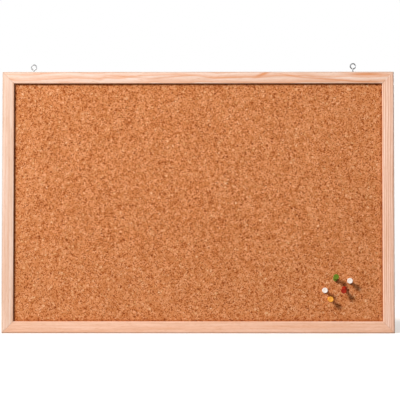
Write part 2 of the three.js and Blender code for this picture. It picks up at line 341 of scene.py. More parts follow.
@dataclass
class Patch:
    """A grid of points that becomes part of a mesh.

    Attributes:
        points: (rows, columns, 3) places.
        wrap: whether the last column meets the first.
        uv: (rows, columns + wrap, 2) texture coordinates in metres, or none.
        eased: (rows, columns) each point's share of edge wear and of painted shade, or none.
    """

    points: Array
    wrap: bool = False
    uv: Array | None = None
    eased: Array | None = None

    def cells(self, width: int) -> Array:
        """Works out the corners of the grid's cells.

        Args:
            width: entries in a row, after the last of which the first comes again.

        Returns:
            (cells, 4) indices into a grid of that width.
        """
        rows, columns = self.points.shape[:2]
        row = np.arange(rows - 1)[:, None]
        column = np.arange(columns if self.wrap else columns - 1)[None, :]
        after = (column + 1) % width
        corners = [(row, column), (row, after), (row + 1, after), (row + 1, column)]
        indices = np.broadcast_arrays(*[r * width + c for r, c in corners])
        return np.stack(indices, axis=-1).reshape(-1, 4)

    def corner_uvs(self) -> Array:
        """Looks up the texture coordinates of the cells' corners.

        Returns:
            (cells * 4, 2) coordinates, 0 where the patch has none.
        """
        rows, columns = self.points.shape[:2]
        width = columns + self.wrap
        uv = np.zeros((rows, width, 2)) if self.uv is None else self.uv
        return uv.reshape(-1, 2)[self.cells(width)].reshape(-1, 2)

    def edge_shares(self) -> Array:
        """Returns each point's share of edge wear and of painted shade, 0 where the patch has none."""
        return (np.zeros(self.points.shape[:2]) if self.eased is None else self.eased).reshape(-1)


def make_piece(name: str, patches: Sequence[Patch]) -> Piece:
    """Joins patches into one closed mesh object at the origin.

    Points that share a place are merged, faces are turned outwards, and edges sharper than SHARP_ANGLE
    stay crisp in the smooth shading.

    Args:
        name: the piece's name.
        patches: the grids it is made of.

    Returns:
        The new object.
    """
    points = np.concatenate([patch.points.reshape(-1, 3) for patch in patches])
    starts = np.cumsum([0] + [patch.points.size // 3 for patch in patches])
    quads = np.concatenate([
        patch.cells(patch.points.shape[1]) + start for patch, start in zip(patches, starts)
    ])
    uvs = np.concatenate([patch.corner_uvs() for patch in patches])
    eased = np.concatenate([patch.edge_shares() for patch in patches])
    mesh = bpy.data.meshes.new(name)
    mesh.vertices.add(len(points))
    mesh.vertices.foreach_set("co", points.astype(np.float32).ravel())
    mesh.loops.add(quads.size)
    mesh.loops.foreach_set("vertex_index", quads.astype(np.int32).ravel())
    mesh.polygons.add(len(quads))
    mesh.polygons.foreach_set("loop_start", np.arange(0, quads.size, 4, dtype=np.int32))
    mesh.update(calc_edges=True)
    mesh.uv_layers.new(name=GRAIN_UV).data.foreach_set("uv", uvs.astype(np.float32).ravel())
    # Each point's share of edge wear and of painted shade, which the materials read
    wear_and_shade_layer = mesh.attributes.new(WEAR_AND_SHADE_ATTRIBUTE, "FLOAT", "POINT")
    wear_and_shade_layer.data.foreach_set("value", eased.astype(np.float32))
    shell = bmesh.new()
    shell.from_mesh(mesh)
    bmesh.ops.remove_doubles(shell, verts=shell.verts, dist=MERGE_DISTANCE)
    bmesh.ops.recalc_face_normals(shell, faces=shell.faces)
    shell.to_mesh(mesh)
    shell.free()
    mesh.polygons.foreach_set("use_smooth", np.ones(len(mesh.polygons), dtype=bool))
    mesh.set_sharp_from_angle(angle=SHARP_ANGLE)
    piece = bpy.data.objects.new(name, mesh)
    bpy.context.scene.collection.objects.link(piece)
    return piece


def fit_out(piece: Piece, material: Material, body: str, node: str) -> None:
    """Dresses a piece and puts it in its CAD node's place.

    Args:
        piece: the finished object.
        material: its material.
        body: the CAD body that it moves with.
        node: the CAD node that it stands for.
    """
    piece.data.materials.append(material)
    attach(piece, body)
    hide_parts(node)
    LOG.info("%s: %d faces, on %s", piece.name, len(piece.data.polygons), body)


class Side(Enum):
    """The frame's sides, numbered by the quarter turns that bring the top one there."""

    TOP = 0
    RIGHT = 1
    BOTTOM = 2
    LEFT = 3

    @property
    def label(self) -> str:
        """The side's word in the nodes' names."""
        return self.name.lower()

    @property
    def corner(self) -> str:
        """The words for the corner at this side's start, going clockwise."""
        return ("top_left", "top_right", "bottom_right", "bottom_left")[self.value]

    @property
    def is_long(self) -> bool:
        """Whether it is one of the two long sides."""
        return self in (Side.TOP, Side.BOTTOM)

    @property
    def turn(self) -> float:
        """The angle about Y that brings the top side there."""
        return self.value * QUARTER

    @property
    def point_count(self) -> int:
        """How many flat points are driven into it."""
        return 3 if self.is_long else 2


@dataclass(frozen=True)
class BoardSizes:
    """The board's main sizes and places in metres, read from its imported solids.

    Attributes:
        width: overall width.
        height: overall height.
        centre_z: height of the board's middle.
        rail_width: a rail's width on the front.
        rail_depth: a rail's depth from front to back.
        rebate_wall: from a rail's outer edge to its rebate's wall.
        cork_front: the cork's front plane on Y.
    """

    width: float
    height: float
    centre_z: float
    rail_width: float
    rail_depth: float
    rebate_wall: float
    cork_front: float

    @classmethod
    def from_frame(cls) -> "BoardSizes":
        """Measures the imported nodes.

        Returns:
            The sizes.
        """
        low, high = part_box("top_rail")
        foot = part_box("bottom_rail")[0].z
        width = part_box("right_rail")[1].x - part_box("left_rail")[0].x
        panel_low, panel_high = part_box("hardboard_back")
        wall = (width - (panel_high.x - panel_low.x)) / 2 - PANEL_CLEARANCE
        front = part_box("cork_sheet")[0].y
        middle = (high.z + foot) / 2
        return cls(width, high.z - foot, middle, high.z - low.z, high.y - low.y, wall, front)

    def length(self, side: Side) -> float:
        """Returns the length of a side's rail."""
        return self.width if side.is_long else self.height

    def place(self, side: Side, points: Array) -> Array:
        """Moves points from a side's own frame to the board.

        In the side's frame X runs along the rail, Y is depth and Z = 0 is its outer edge.

        Args:
            side: the side of the frame.
            points: places in its frame, with X, Y and Z on the last axis.

        Returns:
            The places on the board.
        """
        reach = (self.height if side.is_long else self.width) / 2
        right, up = spun(points[..., 0], points[..., 2] + reach, side.turn)
        return np.stack([right, points[..., 1], up + self.centre_z], axis=-1)


@dataclass(frozen=True)
class StretchedNoise:
    """Noise drawn out along a rail's grain.

    Attributes:
        length_mm: its size along the rail.
        width_mm: its size across the rail.
        shift: where in the noise it is taken from, so that no two patterns match.
        detail: how many layers of finer noise are added to it.
    """

    length_mm: float
    width_mm: float
    shift: float = 0.0
    detail: float = 3.0

    def add(self, tree: Tree, grain: Socket, seed: float) -> Socket:
        """Adds the noise to a material.

        Args:
            tree: the material's node tree.
            grain: socket of the grain coordinates.
            seed: the rail's own shift.

        Returns:
            The noise value's socket.
        """
        stretch = add_node(tree, "Mapping", {
            "Vector": grain,
            "Location": (self.shift, self.shift, seed),
            "Scale": (per_metre(self.length_mm), per_metre(self.width_mm), 1.0),
        })
        inputs = {"Vector": stretch.outputs[0], "Scale": 1.0, "Detail": self.detail}
        return add_node(tree, "TexNoise", inputs).outputs["Fac"]


@dataclass(frozen=True)
class ResinStreak:
    """A darker orange streak in a rail's face, in millimetres in the rail's own grain coordinates.

    Attributes:
        along: its middle, from the rail's middle.
        across: its middle, from the rail's outer edge.
        length: half length of the streak.
        width: half width of the streak.
        strength: how far it tints the wood, from 0 to 1.
        tilt_deg: how far it slants in from the outer edge.
    """

    along: float
    across: float
    length: float
    width: float
    strength: float
    tilt_deg: float = 0.0

    def mask(self, tree: Tree, grain: Socket) -> Socket:
        """Adds the streak's mask, exp(-(along / length)^2 - (across / width)^2).

        Args:
            tree: the material's node tree.
            grain: socket of the grain coordinates.

        Returns:
            The mask's socket.
        """
        place = {
            "Vector": grain,
            "Location": (self.along * MM, self.across * MM, 0.0),
            "Rotation": (0.0, 0.0, math.radians(self.tilt_deg)),
            "Scale": (self.length * MM, self.width * MM, 1.0),
        }
        local = add_node(tree, "Mapping", place, vector_type="TEXTURE").outputs[0]
        square = add_node(tree, "VectorMath", {0: local, 1: local}, operation="DOT_PRODUCT")
        fall = add_node(tree, "Math", {0: square.outputs["Value"], 1: -1.0}, operation="MULTIPLY")
        return add_node(tree, "Math", {0: fall.outputs[0]}, operation="EXPONENT").outputs[0]


@dataclass(frozen=True)
class PineFinish:
    """Planed pine under a thin matt lacquer.

    The eye sees pale pinkish early wood, thin orange late-wood lines along the rail, faint fibres, short
    dark resin canals and a soft sheen. Fibres and canals are several times finer on the real wood, and are
    drawn coarser so that they show.

    Attributes:
        name: the material's name.
        pale: early wood, sRGB hex.
        line: late wood, sRGB hex.
        ring_mm: spacing of the growth lines.
        line_strength: how far a line reaches the late-wood colour.
        seed: shift of the pattern, so that no two rails match.
        wander_mm: how far the lines stray across the rail.
        streaks: resin streaks on the face.
        edge_share: how far edge wear, and the painted shade at the lip's edge on the cork, take on
            edge_colour.
        wander_gain: makes the noise's spread, about a fifth, the whole of wander_mm.
        roughness: of the smoothest and of the roughest fibres.
    """

    name: str
    pale: str
    line: str
    ring_mm: float
    line_strength: float
    seed: float
    wander_mm: float
    streaks: tuple[ResinStreak, ...] = ()
    streak_colour: str = "#da8a52"
    # Colour of edge wear, and of the painted shade at the lip's edge on the cork
    edge_colour: str = "#b09888"
    edge_share: float = 0.6
    fibres: StretchedNoise = StretchedNoise(28.0, 1.1)
    clouds: StretchedNoise = StretchedNoise(160.0, 7.0, 9.1)
    canals: StretchedNoise = StretchedNoise(9.0, 0.45, 5.3)
    wander: StretchedNoise = StretchedNoise(190.0, 30.0, 3.7)
    wander_gain: float = 5.0
    ring_shades: Stops = (
        (0.0, grey(0.1)), (0.25, grey(0.0)), (0.8, grey(0.7)), (0.9, grey(1.0)), (1.0, grey(0.1))
    )
    fibre_tones: Stops = over_noise(tint(0.93, 0.89, 0.85), tint(1.05, 1.08, 1.11))
    cloud_tones: Stops = over_noise(tint(0.93, 0.85, 0.77), tint(1.04, 1.1, 1.16))
    canal_tones: Stops = ((0.58, grey(1.0)), (0.68, tint(0.86, 0.72, 0.58)))
    roughness: tuple[float, float] = (0.44, 0.64)
    grain_depth_mm: float = 0.05
    bump: float = 0.5

    def ring_lines(self, tree: Tree, grain: Socket) -> Socket:
        """Adds the growth lines: the place across the grain wanders, and each ring darkens to its edge.

        Args:
            tree: the material's node tree.
            grain: socket of the grain coordinates.

        Returns:
            The lines' strength as a socket.
        """
        wander = self.wander.add(tree, grain, self.seed)
        gain = self.wander_gain * self.wander_mm / self.ring_mm
        across = add_node(tree, "SeparateXYZ", {0: grain}).outputs["Y"]
        rings = add_node(tree, "Math", {0: across, 1: per_metre(self.ring_mm)}, operation="MULTIPLY")
        drift = add_node(tree, "Math", {0: wander, 1: gain}, operation="MULTIPLY")
        total = add_node(tree, "Math", {0: rings.outputs[0], 1: drift.outputs[0]}, operation="ADD")
        share = add_node(tree, "Math", {0: total.outputs[0]}, operation="FRACT")
        return add_node(tree, "ValToRGB", {"Fac": share.outputs[0]}, self.ring_shades).outputs["Color"]

    def build(self) -> Material:
        """Lays lines, streaks, worn edges and the finer patterns over the early wood.

        Returns:
            The node material.
        """
        material, tree, shader = new_material(self.name)
        grain = add_node(tree, "UVMap", uv_map=GRAIN_UV).outputs["UV"]
        eased = add_node(tree, "Attribute", attribute_name=WEAR_AND_SHADE_ATTRIBUTE).outputs["Fac"]
        fibres = self.fibres.add(tree, grain, self.seed)
        clouds = self.clouds.add(tree, grain, self.seed)
        canals = self.canals.add(tree, grain, self.seed)
        lines = self.ring_lines(tree, grain)
        colour = overlaid(tree, linear(self.pale), linear(self.line), lines, self.line_strength)
        for streak in self.streaks:
            mask = streak.mask(tree, grain)
            colour = overlaid(tree, colour, linear(self.streak_colour), mask, streak.strength)
        # Edge wear, and painted shade along the lip's edge on the cork
        colour = overlaid(tree, colour, linear(self.edge_colour), eased, self.edge_share)
        colour = toned(tree, colour, fibres, self.fibre_tones)
        colour = toned(tree, colour, clouds, self.cloud_tones)
        colour = toned(tree, colour, canals, self.canal_tones)
        smooth, rough = self.roughness
        sheen = add_node(tree, "MapRange", {"Value": fibres, TO_LOW: smooth, TO_HIGH: rough})
        height = add_node(tree, "Math", {0: fibres, 1: lines}, operation="ADD").outputs[0]
        depth = self.grain_depth_mm * MM
        relief = add_node(tree, "Bump", {"Height": height, "Strength": self.bump, "Distance": depth})
        connect(tree, shader, {
            "Base Color": colour,
            "Roughness": sheen.outputs["Result"],
            "Normal": relief.outputs["Normal"],
        })
        return material


PINE = {
    Side.TOP: PineFinish(
        "planed_pine_top", pale="#f1d2bf", line="#e4955e", ring_mm=6.5, line_strength=0.64, seed=1.3,
        wander_mm=6.0, edge_share=0.95, streaks=(
            ResinStreak(-109.0, 7.3, 38.0, 1.2, 0.55, 4.2),
            ResinStreak(-35.0, 6.9, 40.0, 1.3, 0.62, -4.6),
            ResinStreak(48.0, 8.6, 40.0, 1.3, 0.62, -2.0),
            ResinStreak(100.0, 3.2, 14.0, 2.6, 0.95, -20.0),
            ResinStreak(144.0, 5.8, 21.0, 1.2, 0.65, 8.2),
            ResinStreak(197.0, 11.0, 46.0, 1.3, 0.8, 3.8),
            ResinStreak(258.0, 3.4, 32.0, 2.4, 0.95, 0.0),
            ResinStreak(256.0, 15.2, 25.0, 1.1, 0.6, 0.0),
        ),
    ),
    Side.RIGHT: PineFinish(
        "planed_pine_right", pale="#ffd9c4", line="#d08a62", ring_mm=3.5, line_strength=0.74, seed=4.1,
        wander_mm=1.7, edge_share=0.35, streaks=(ResinStreak(140.0, 9.0, 110.0, 12.0, 0.05),),
    ),
    Side.BOTTOM: PineFinish(
        "planed_pine_bottom", pale="#f8c9ae", line="#e6a884", ring_mm=4.6, line_strength=0.3, seed=7.7,
        wander_mm=1.0, edge_share=0.15, streak_colour="#b8845c", streaks=(
            ResinStreak(0.0, 16.5, 2000.0, 4.0, 0.09),
            ResinStreak(250.0, 9.0, 110.0, 12.0, 0.11),
        ),
    ),
    Side.LEFT: PineFinish(
        "planed_pine_left", pale="#ebcdba", line="#dda380", ring_mm=5.5, line_strength=0.45, seed=2.9,
        wander_mm=2.0, edge_share=0.95, streaks=(ResinStreak(-110.0, 4.0, 150.0, 8.0, 0.13),),
    ),
}


@dataclass(frozen=True)
class CorkFinish:
    """Granulated cork pressed into a sheet, sanded and unsealed.

    The eye sees packed orange-brown granules of many tones, each made of finer crumbs, with dark bark flecks
    and a few pale ones, darker binder between the granules and no shine. A painted shade darkens the border
    under the frame.
    The grit within a crumb is finer on the real sheet, and is drawn coarser so that it shows.

    Attributes:
        stray_mm: how far the granules' outlines are torn.
        bark_share: share of the granules with a dark heart.
        pith_share: share of the granules with a pale heart.
        share_step: how sharply one kind of granule gives way to another.
        fleck_size: reach of a granule's heart from its middle, in granules.
        fleck_ragged: how far the grit tears a heart's rim.
        fleck_blur: half width of that rim.
    """

    name: str = "granulated_cork"
    dark: str = "#cd7f48"
    middle: str = "#d98d58"
    light: str = "#e19967"
    granule_mm: float = 4.2
    crumb_mm: float = 1.35
    grit_mm: float = 0.9
    grit_detail: float = 1.0
    mottle_mm: float = 24.0
    mottle_detail: float = 2.0
    stray_mm: float = 0.9
    stray_detail: float = 4.0
    stray_roughness: float = 0.62
    bark_share: float = 0.06
    pith_share: float = 0.05
    share_step: float = 0.01
    fleck_size: float = 0.32
    fleck_ragged: float = 0.9
    fleck_blur: float = 0.04
    bark: Colour = tint(0.5, 0.3, 0.14)
    pith: Colour = tint(1.1, 1.45, 1.75)
    crumb_tones: Stops = (
        (0.0, tint(0.5, 0.28, 0.11)), (0.2, tint(0.64, 0.43, 0.24)), (0.26, tint(0.95, 0.9, 0.84)),
        (0.88, tint(1.06, 1.13, 1.23)), (1.0, tint(1.17, 1.58, 2.1)),
    )
    binder_tones: Stops = ((0.0, tint(0.8, 0.72, 0.6)), (0.08, grey(1.0)))
    grit_tones: Stops = over_noise(tint(0.91, 0.83, 0.72), tint(1.06, 1.12, 1.22))
    mottle_tones: Stops = over_noise(tint(0.96, 0.95, 0.93), tint(1.04, 1.05, 1.07))
    # Painted shade along the border under the frame's lip
    border_tones: Stops = ((0.0, grey(1.0)), (1.0, tint(0.62, 0.5, 0.38)))
    roughness: float = 0.92
    specular: float = 0.2
    relief_mm: float = 0.25
    bump: float = 0.4

    def torn_place(self, tree: Tree, place: Socket) -> Socket:
        """Adds coordinates that noise shifts by up to stray_mm, so that no granule has a clean outline.

        Args:
            tree: the material's node tree.
            place: socket of the sheet's coordinates.

        Returns:
            The shifted coordinates' socket.
        """
        stray = add_node(tree, "TexNoise", {
            "Vector": place, "Scale": per_metre(2 * self.crumb_mm),
            "Detail": self.stray_detail, "Roughness": self.stray_roughness,
        })
        reach = (self.stray_mm * MM,) * 3
        shift = add_node(tree, "VectorMath", {0: stray.outputs["Color"], 1: reach}, operation="MULTIPLY")
        return add_node(tree, "VectorMath", {0: place, 1: shift.outputs[0]}, operation="ADD").outputs[0]

    def heart_mask(self, tree: Tree, distance: Socket, grit: Socket) -> Socket:
        """Adds the mask of the granules' hearts: 1 near a granule's middle, with a rim that the grit tears.

        Args:
            tree: the material's node tree.
            distance: how far a place is from its granule's middle.
            grit: noise that tears the rim.

        Returns:
            The mask's socket.
        """
        inputs = {0: grit, 1: self.fleck_ragged, 2: distance}
        ragged = add_node(tree, "Math", inputs, operation="MULTIPLY_ADD")
        rim = self.fleck_size + self.fleck_ragged / 2
        return add_node(tree, "MapRange", {
            "Value": ragged.outputs[0], FROM_LOW: rim - self.fleck_blur, FROM_HIGH: rim + self.fleck_blur,
            TO_LOW: 1.0, TO_HIGH: 0.0,
        }).outputs["Result"]

    def heart_tones(self) -> Stops:
        """Gives a granule's heart its kind by chance: bark, plain cork or pith.

        Returns:
            Ramp stops from the chance to the tone.
        """
        pale_from = 1 - self.pith_share
        return (
            (0.0, self.bark), (self.bark_share, self.bark), (self.bark_share + self.share_step, grey(1.0)),
            (pale_from - self.share_step, grey(1.0)), (pale_from, self.pith),
        )

    def build(self) -> Material:
        """Colours the granules, tones their hearts, crumbs, binder, grit and mottle, and paints shade along
        the border.

        Returns:
            The node material.
        """
        material, tree, shader = new_material(self.name)
        place = add_node(tree, "TexCoord").outputs["Object"]
        border = add_node(tree, "Attribute", attribute_name=WEAR_AND_SHADE_ATTRIBUTE).outputs["Fac"]
        torn = self.torn_place(tree, place)
        packing = {"Vector": torn, "Scale": per_metre(self.granule_mm)}
        granules = add_node(tree, "TexVoronoi", packing).outputs
        binder = add_node(tree, "TexVoronoi", packing, feature="DISTANCE_TO_EDGE").outputs["Distance"]
        crumbs = add_node(tree, "TexVoronoi", {"Vector": torn, "Scale": per_metre(self.crumb_mm)})
        fine = {"Vector": place, "Scale": per_metre(self.grit_mm), "Detail": self.grit_detail}
        grit = add_node(tree, "TexNoise", fine).outputs["Fac"]
        broad = {"Vector": place, "Scale": per_metre(self.mottle_mm), "Detail": self.mottle_detail}
        mottle = add_node(tree, "TexNoise", broad).outputs["Fac"]
        tone, chance, _ = add_node(tree, "SeparateColor", {0: granules["Color"]}).outputs
        crumb = add_node(tree, "SeparateColor", {0: crumbs.outputs["Color"]}).outputs[0]
        body = ((0.0, linear(self.dark)), (0.5, linear(self.middle)), (1.0, linear(self.light)))
        colour = add_node(tree, "ValToRGB", {"Fac": tone}, body).outputs["Color"]
        heart = self.heart_mask(tree, granules["Distance"], grit)
        colour = toned(tree, colour, chance, self.heart_tones(), heart)
        colour = toned(tree, colour, crumb, self.crumb_tones)
        colour = toned(tree, colour, binder, self.binder_tones)
        colour = toned(tree, colour, grit, self.grit_tones)
        colour = toned(tree, colour, mottle, self.mottle_tones)
        # Painted shade: the cork darkens towards the frame's lip, as far as the border share reaches
        colour = toned(tree, colour, border, self.border_tones)
        height = add_node(tree, "Math", {0: crumb, 1: binder}, operation="ADD").outputs[0]
        depth = self.relief_mm * MM
        relief = add_node(tree, "Bump", {"Height": height, "Strength": self.bump, "Distance": depth})
        connect(tree, shader, {
            "Base Color": colour,
            "Roughness": self.roughness,
            "Specular IOR Level": self.specular,
            "Normal": relief.outputs["Normal"],
        })
        return material


@dataclass(frozen=True)
class FibreboardFinish:
    """Wood fibre pressed into board.

    The eye sees a matt brown felt of short fibres. Hardboard's back also keeps the marks of the wire screen
    that it was pressed on, drawn here at about twice their real spacing so that they show.

    Attributes:
        name: the material's name.
        dark: darker fibres, sRGB hex.
        light: lighter fibres, sRGB hex.
        fibre_mm: size of the fibre clumps.
        screen_mm: spacing of the screen marks, or 0 for none.
        felt_roughness: how strongly the finer fibres show.
        cloud_clumps: size of the cloudy patches, in fibre clumps.
    """

    name: str
    dark: str
    light: str
    fibre_mm: float
    screen_mm: float = 0.0
    felt_detail: float = 6.0
    felt_roughness: float = 0.7
    cloud_clumps: float = 20.0
    cloud_detail: float = 2.0
    cloud_tones: Stops = over_noise(grey(0.86), grey(1.1))
    screen_tones: Stops = ((0.0, grey(0.9)), (0.6, grey(1.12)))
    roughness: float = 0.85
    specular: float = 0.25
    relief_mm: float = 0.2
    bump: float = 0.5

    def screen_marks(self, tree: Tree, place: Socket) -> Socket:
        """Adds the screen's marks, sin(2 pi x / spacing) * sin(2 pi z / spacing).

        Args:
            tree: the material's node tree.
            place: socket of the board's coordinates.

        Returns:
            The marks' height as a socket.
        """
        step = 2 * math.pi * per_metre(self.screen_mm)
        axes = add_node(tree, "SeparateXYZ", {0: place}).outputs
        waves = []
        for axis in ("X", "Z"):
            phase = add_node(tree, "Math", {0: axes[axis], 1: step}, operation="MULTIPLY")
            waves.append(add_node(tree, "Math", {0: phase.outputs[0]}, operation="SINE").outputs[0])
        return add_node(tree, "Math", {0: waves[0], 1: waves[1]}, operation="MULTIPLY").outputs[0]

    def build(self) -> Material:
        """Colours the felt, clouds it and presses the screen's marks into it.

        Returns:
            The node material.
        """
        material, tree, shader = new_material(self.name)
        place = add_node(tree, "TexCoord").outputs["Object"]
        fine = {
            "Vector": place, "Scale": per_metre(self.fibre_mm),
            "Detail": self.felt_detail, "Roughness": self.felt_roughness,
        }
        felt = add_node(tree, "TexNoise", fine).outputs["Fac"]
        cloud_mm = self.fibre_mm * self.cloud_clumps
        broad = {"Vector": place, "Scale": per_metre(cloud_mm), "Detail": self.cloud_detail}
        clouds = add_node(tree, "TexNoise", broad).outputs["Fac"]
        fibres = over_noise(linear(self.dark), linear(self.light))
        colour = add_node(tree, "ValToRGB", {"Fac": felt}, fibres).outputs["Color"]
        colour = toned(tree, colour, clouds, self.cloud_tones)
        height = felt
        if self.screen_mm:
            marks = self.screen_marks(tree, place)
            colour = toned(tree, colour, marks, self.screen_tones)
            height = add_node(tree, "Math", {0: felt, 1: marks}, operation="ADD").outputs[0]
        depth = self.relief_mm * MM
        relief = add_node(tree, "Bump", {"Height": height, "Strength": self.bump, "Distance": depth})
        connect(tree, shader, {
            "Base Color": colour,
            "Roughness": self.roughness,
            "Specular IOR Level": self.specular,
            "Normal": relief.outputs["Normal"],
        })
        return material


@dataclass(frozen=True)
class SteelFinish:
    """Plated steel, drawn as wire or rolled as strip.

    The eye sees a neutral metal with faint cloudy patches in the plating, and draw marks too fine to count
    that only soften its reflections.

    Attributes:
        name: the material's name.
        colour: the plating, sRGB hex.
        roughness: its mean roughness.
        contrast: how much the patches differ.
        patch_mm: size of the cloudy patches.
        smoother: how far the smoothest patches lie below that roughness.
        rougher: how far the roughest patches lie above it.
    """

    name: str
    colour: str
    roughness: float
    contrast: float
    patch_mm: float = 2.0
    patch_detail: float = 3.0
    smoother: float = 0.07
    rougher: float = 0.1

    def build(self) -> Material:
        """Clouds the plating's colour and its roughness alike.

        Returns:
            The node material.
        """
        material, tree, shader = new_material(self.name)
        place = add_node(tree, "TexCoord").outputs["Object"]
        cloudy = {"Vector": place, "Scale": per_metre(self.patch_mm), "Detail": self.patch_detail}
        patches = add_node(tree, "TexNoise", cloudy).outputs["Fac"]
        tones = over_noise(grey(1 - self.contrast), grey(1.0))
        spread = {TO_LOW: self.roughness - self.smoother, TO_HIGH: self.roughness + self.rougher}
        rough = add_node(tree, "MapRange", {"Value": patches, **spread})
        connect(tree, shader, {
            "Base Color": toned(tree, linear(self.colour), patches, tones),
            "Metallic": 1.0,
            "Roughness": rough.outputs["Result"],
        })
        return material


@dataclass(frozen=True)
class PlasticFinish:
    """Polystyrene, injection moulded in a polished tool.

    The eye sees an even solid colour with a clean gloss, a faint swirl where the melt flowed, and a very
    slight orange-peel in the reflections.

    Attributes:
        name: the material's name.
        colour: the plastic, sRGB hex.
        swirl: the flow marks, sRGB hex.
        swirl_from: noise value up to which the plastic has its own colour.
        swirl_to: noise value from which it has that of the flow marks.
        swirl_twist: how far the flow marks are drawn out.
    """

    name: str
    colour: str
    swirl: str
    swirl_mm: float = 5.0
    swirl_detail: float = 2.0
    swirl_from: float = 0.35
    swirl_to: float = 0.75
    swirl_twist: float = 1.5
    roughness: float = 0.26
    specular: float = 0.18
    ior: float = 1.55
    peel_mm: float = 0.8
    peel_depth_mm: float = 0.03
    bump: float = 0.15

    def build(self) -> Material:
        """Colours the plastic along its flow, and gives it a faint orange-peel.

        Returns:
            The node material.
        """
        material, tree, shader = new_material(self.name)
        place = add_node(tree, "TexCoord").outputs["Object"]
        flow = add_node(tree, "TexNoise", {
            "Vector": place, "Scale": per_metre(self.swirl_mm),
            "Detail": self.swirl_detail, "Distortion": self.swirl_twist,
        }).outputs["Fac"]
        stops = ((self.swirl_from, linear(self.colour)), (self.swirl_to, linear(self.swirl)))
        colour = add_node(tree, "ValToRGB", {"Fac": flow}, stops).outputs["Color"]
        peel = add_node(tree, "TexNoise", {"Vector": place, "Scale": per_metre(self.peel_mm)}).outputs["Fac"]
        depth = self.peel_depth_mm * MM
        relief = add_node(tree, "Bump", {"Height": peel, "Strength": self.bump, "Distance": depth})
        connect(tree, shader, {
            "Base Color": colour,
            "Roughness": self.roughness,
            "IOR": self.ior,
            "Specular IOR Level": self.specular,
            "Normal": relief.outputs["Normal"],
        })
        return material


@dataclass
class Rail:
    """One mitred side of the frame.

    Attributes:
        side: which side it is.
        sizes: the board's sizes.
        finish: its wood.
        edge_wear: how much wear each edge of the section gets, from the outer front edge round by the lip.
        shaded_edge: number of the lip's edge on the cork, which gets painted shade: it takes the edge colour
            all along.
    """

    side: Side
    sizes: BoardSizes
    finish: PineFinish
    outer_radius: float = 2.2 * MM
    inner_radius: float = 1.0 * MM
    back_radius: float = 1.0 * MM
    cut_radius: float = 0.2 * MM
    mitre_gap: float = 0.22 * MM
    edge_wear: tuple[float, ...] = (0.6, 0.0, 0.0, 0.0, 0.0, 0.5)
    shaded_edge: int = 2
    arc_steps: int = 9
    length_steps: int = 24

    def outline(self) -> tuple[Array, Array]:
        """Works out the rail's section: inward from its outer edge, and depth from its front.

        Returns:
            (columns, 2) points, and (columns,) each point's share: wear that peaks in the middle of each
            rounded edge, and full painted shade on the lip's edge on the cork.
        """
        width, depth, wall = self.sizes.rail_width, self.sizes.rail_depth, self.sizes.rebate_wall
        lip = self.sizes.cork_front + depth
        corners = np.array([[0, 0], [width, 0], [width, lip], [wall, lip], [wall, depth], [0, depth]])
        cuts = [self.cut_radius] * 3
        radii = np.array([self.outer_radius, self.inner_radius, *cuts, self.back_radius])
        bow = np.sin(np.linspace(0, math.pi, self.arc_steps))
        wear_and_shade_rows = np.array(self.edge_wear)[:, None] * bow
        # Painted shade: the lip's edge on the cork is darkened all along, where shade falls under the lip
        wear_and_shade_rows[self.shaded_edge] = 1.0
        return rounded_outline(corners, radii, self.arc_steps), wear_and_shade_rows.ravel()

    def build(self) -> Piece:
        """Carries the section along the rail, and draws each end in by the distance from the outer edge.

        Returns:
            The rail.
        """
        section, eased = self.outline()
        length = self.sizes.length(self.side)
        middle = [self.sizes.rebate_wall / 2, (self.sizes.cork_front + self.sizes.rail_depth) / 2]
        share = np.linspace(-0.5, 0.5, self.length_steps + 1)
        share = np.concatenate([share[:1], share, share[-1:]])[:, None]
        grid = np.repeat(section[None], len(share), axis=0)
        grid[[0, -1]] = middle
        inward, depth = grid[..., 0], grid[..., 1]
        x = share * (length - 2 * (inward + self.mitre_gap / math.sqrt(2)))
        local = np.stack([x, depth - self.sizes.rail_depth, -inward], axis=-1)
        loop = np.concatenate([section, section[:1]])
        run = np.concatenate([[0], np.cumsum(np.linalg.norm(np.diff(loop, axis=0), axis=1))])
        across = run - run[self.arc_steps // 2]
        u = np.concatenate([x, x[:, :1]], axis=1)
        uv = np.stack([u, np.broadcast_to(across, u.shape)], axis=-1)
        soft = np.broadcast_to(eased, inward.shape)
        patch = Patch(self.sizes.place(self.side, local), wrap=True, uv=uv, eased=soft)
        rail = make_piece(f"pine_rail_{self.side.label}", [patch])
        fit_out(rail, self.finish.build(), "board", f"{self.side.label}_rail")
        return rail


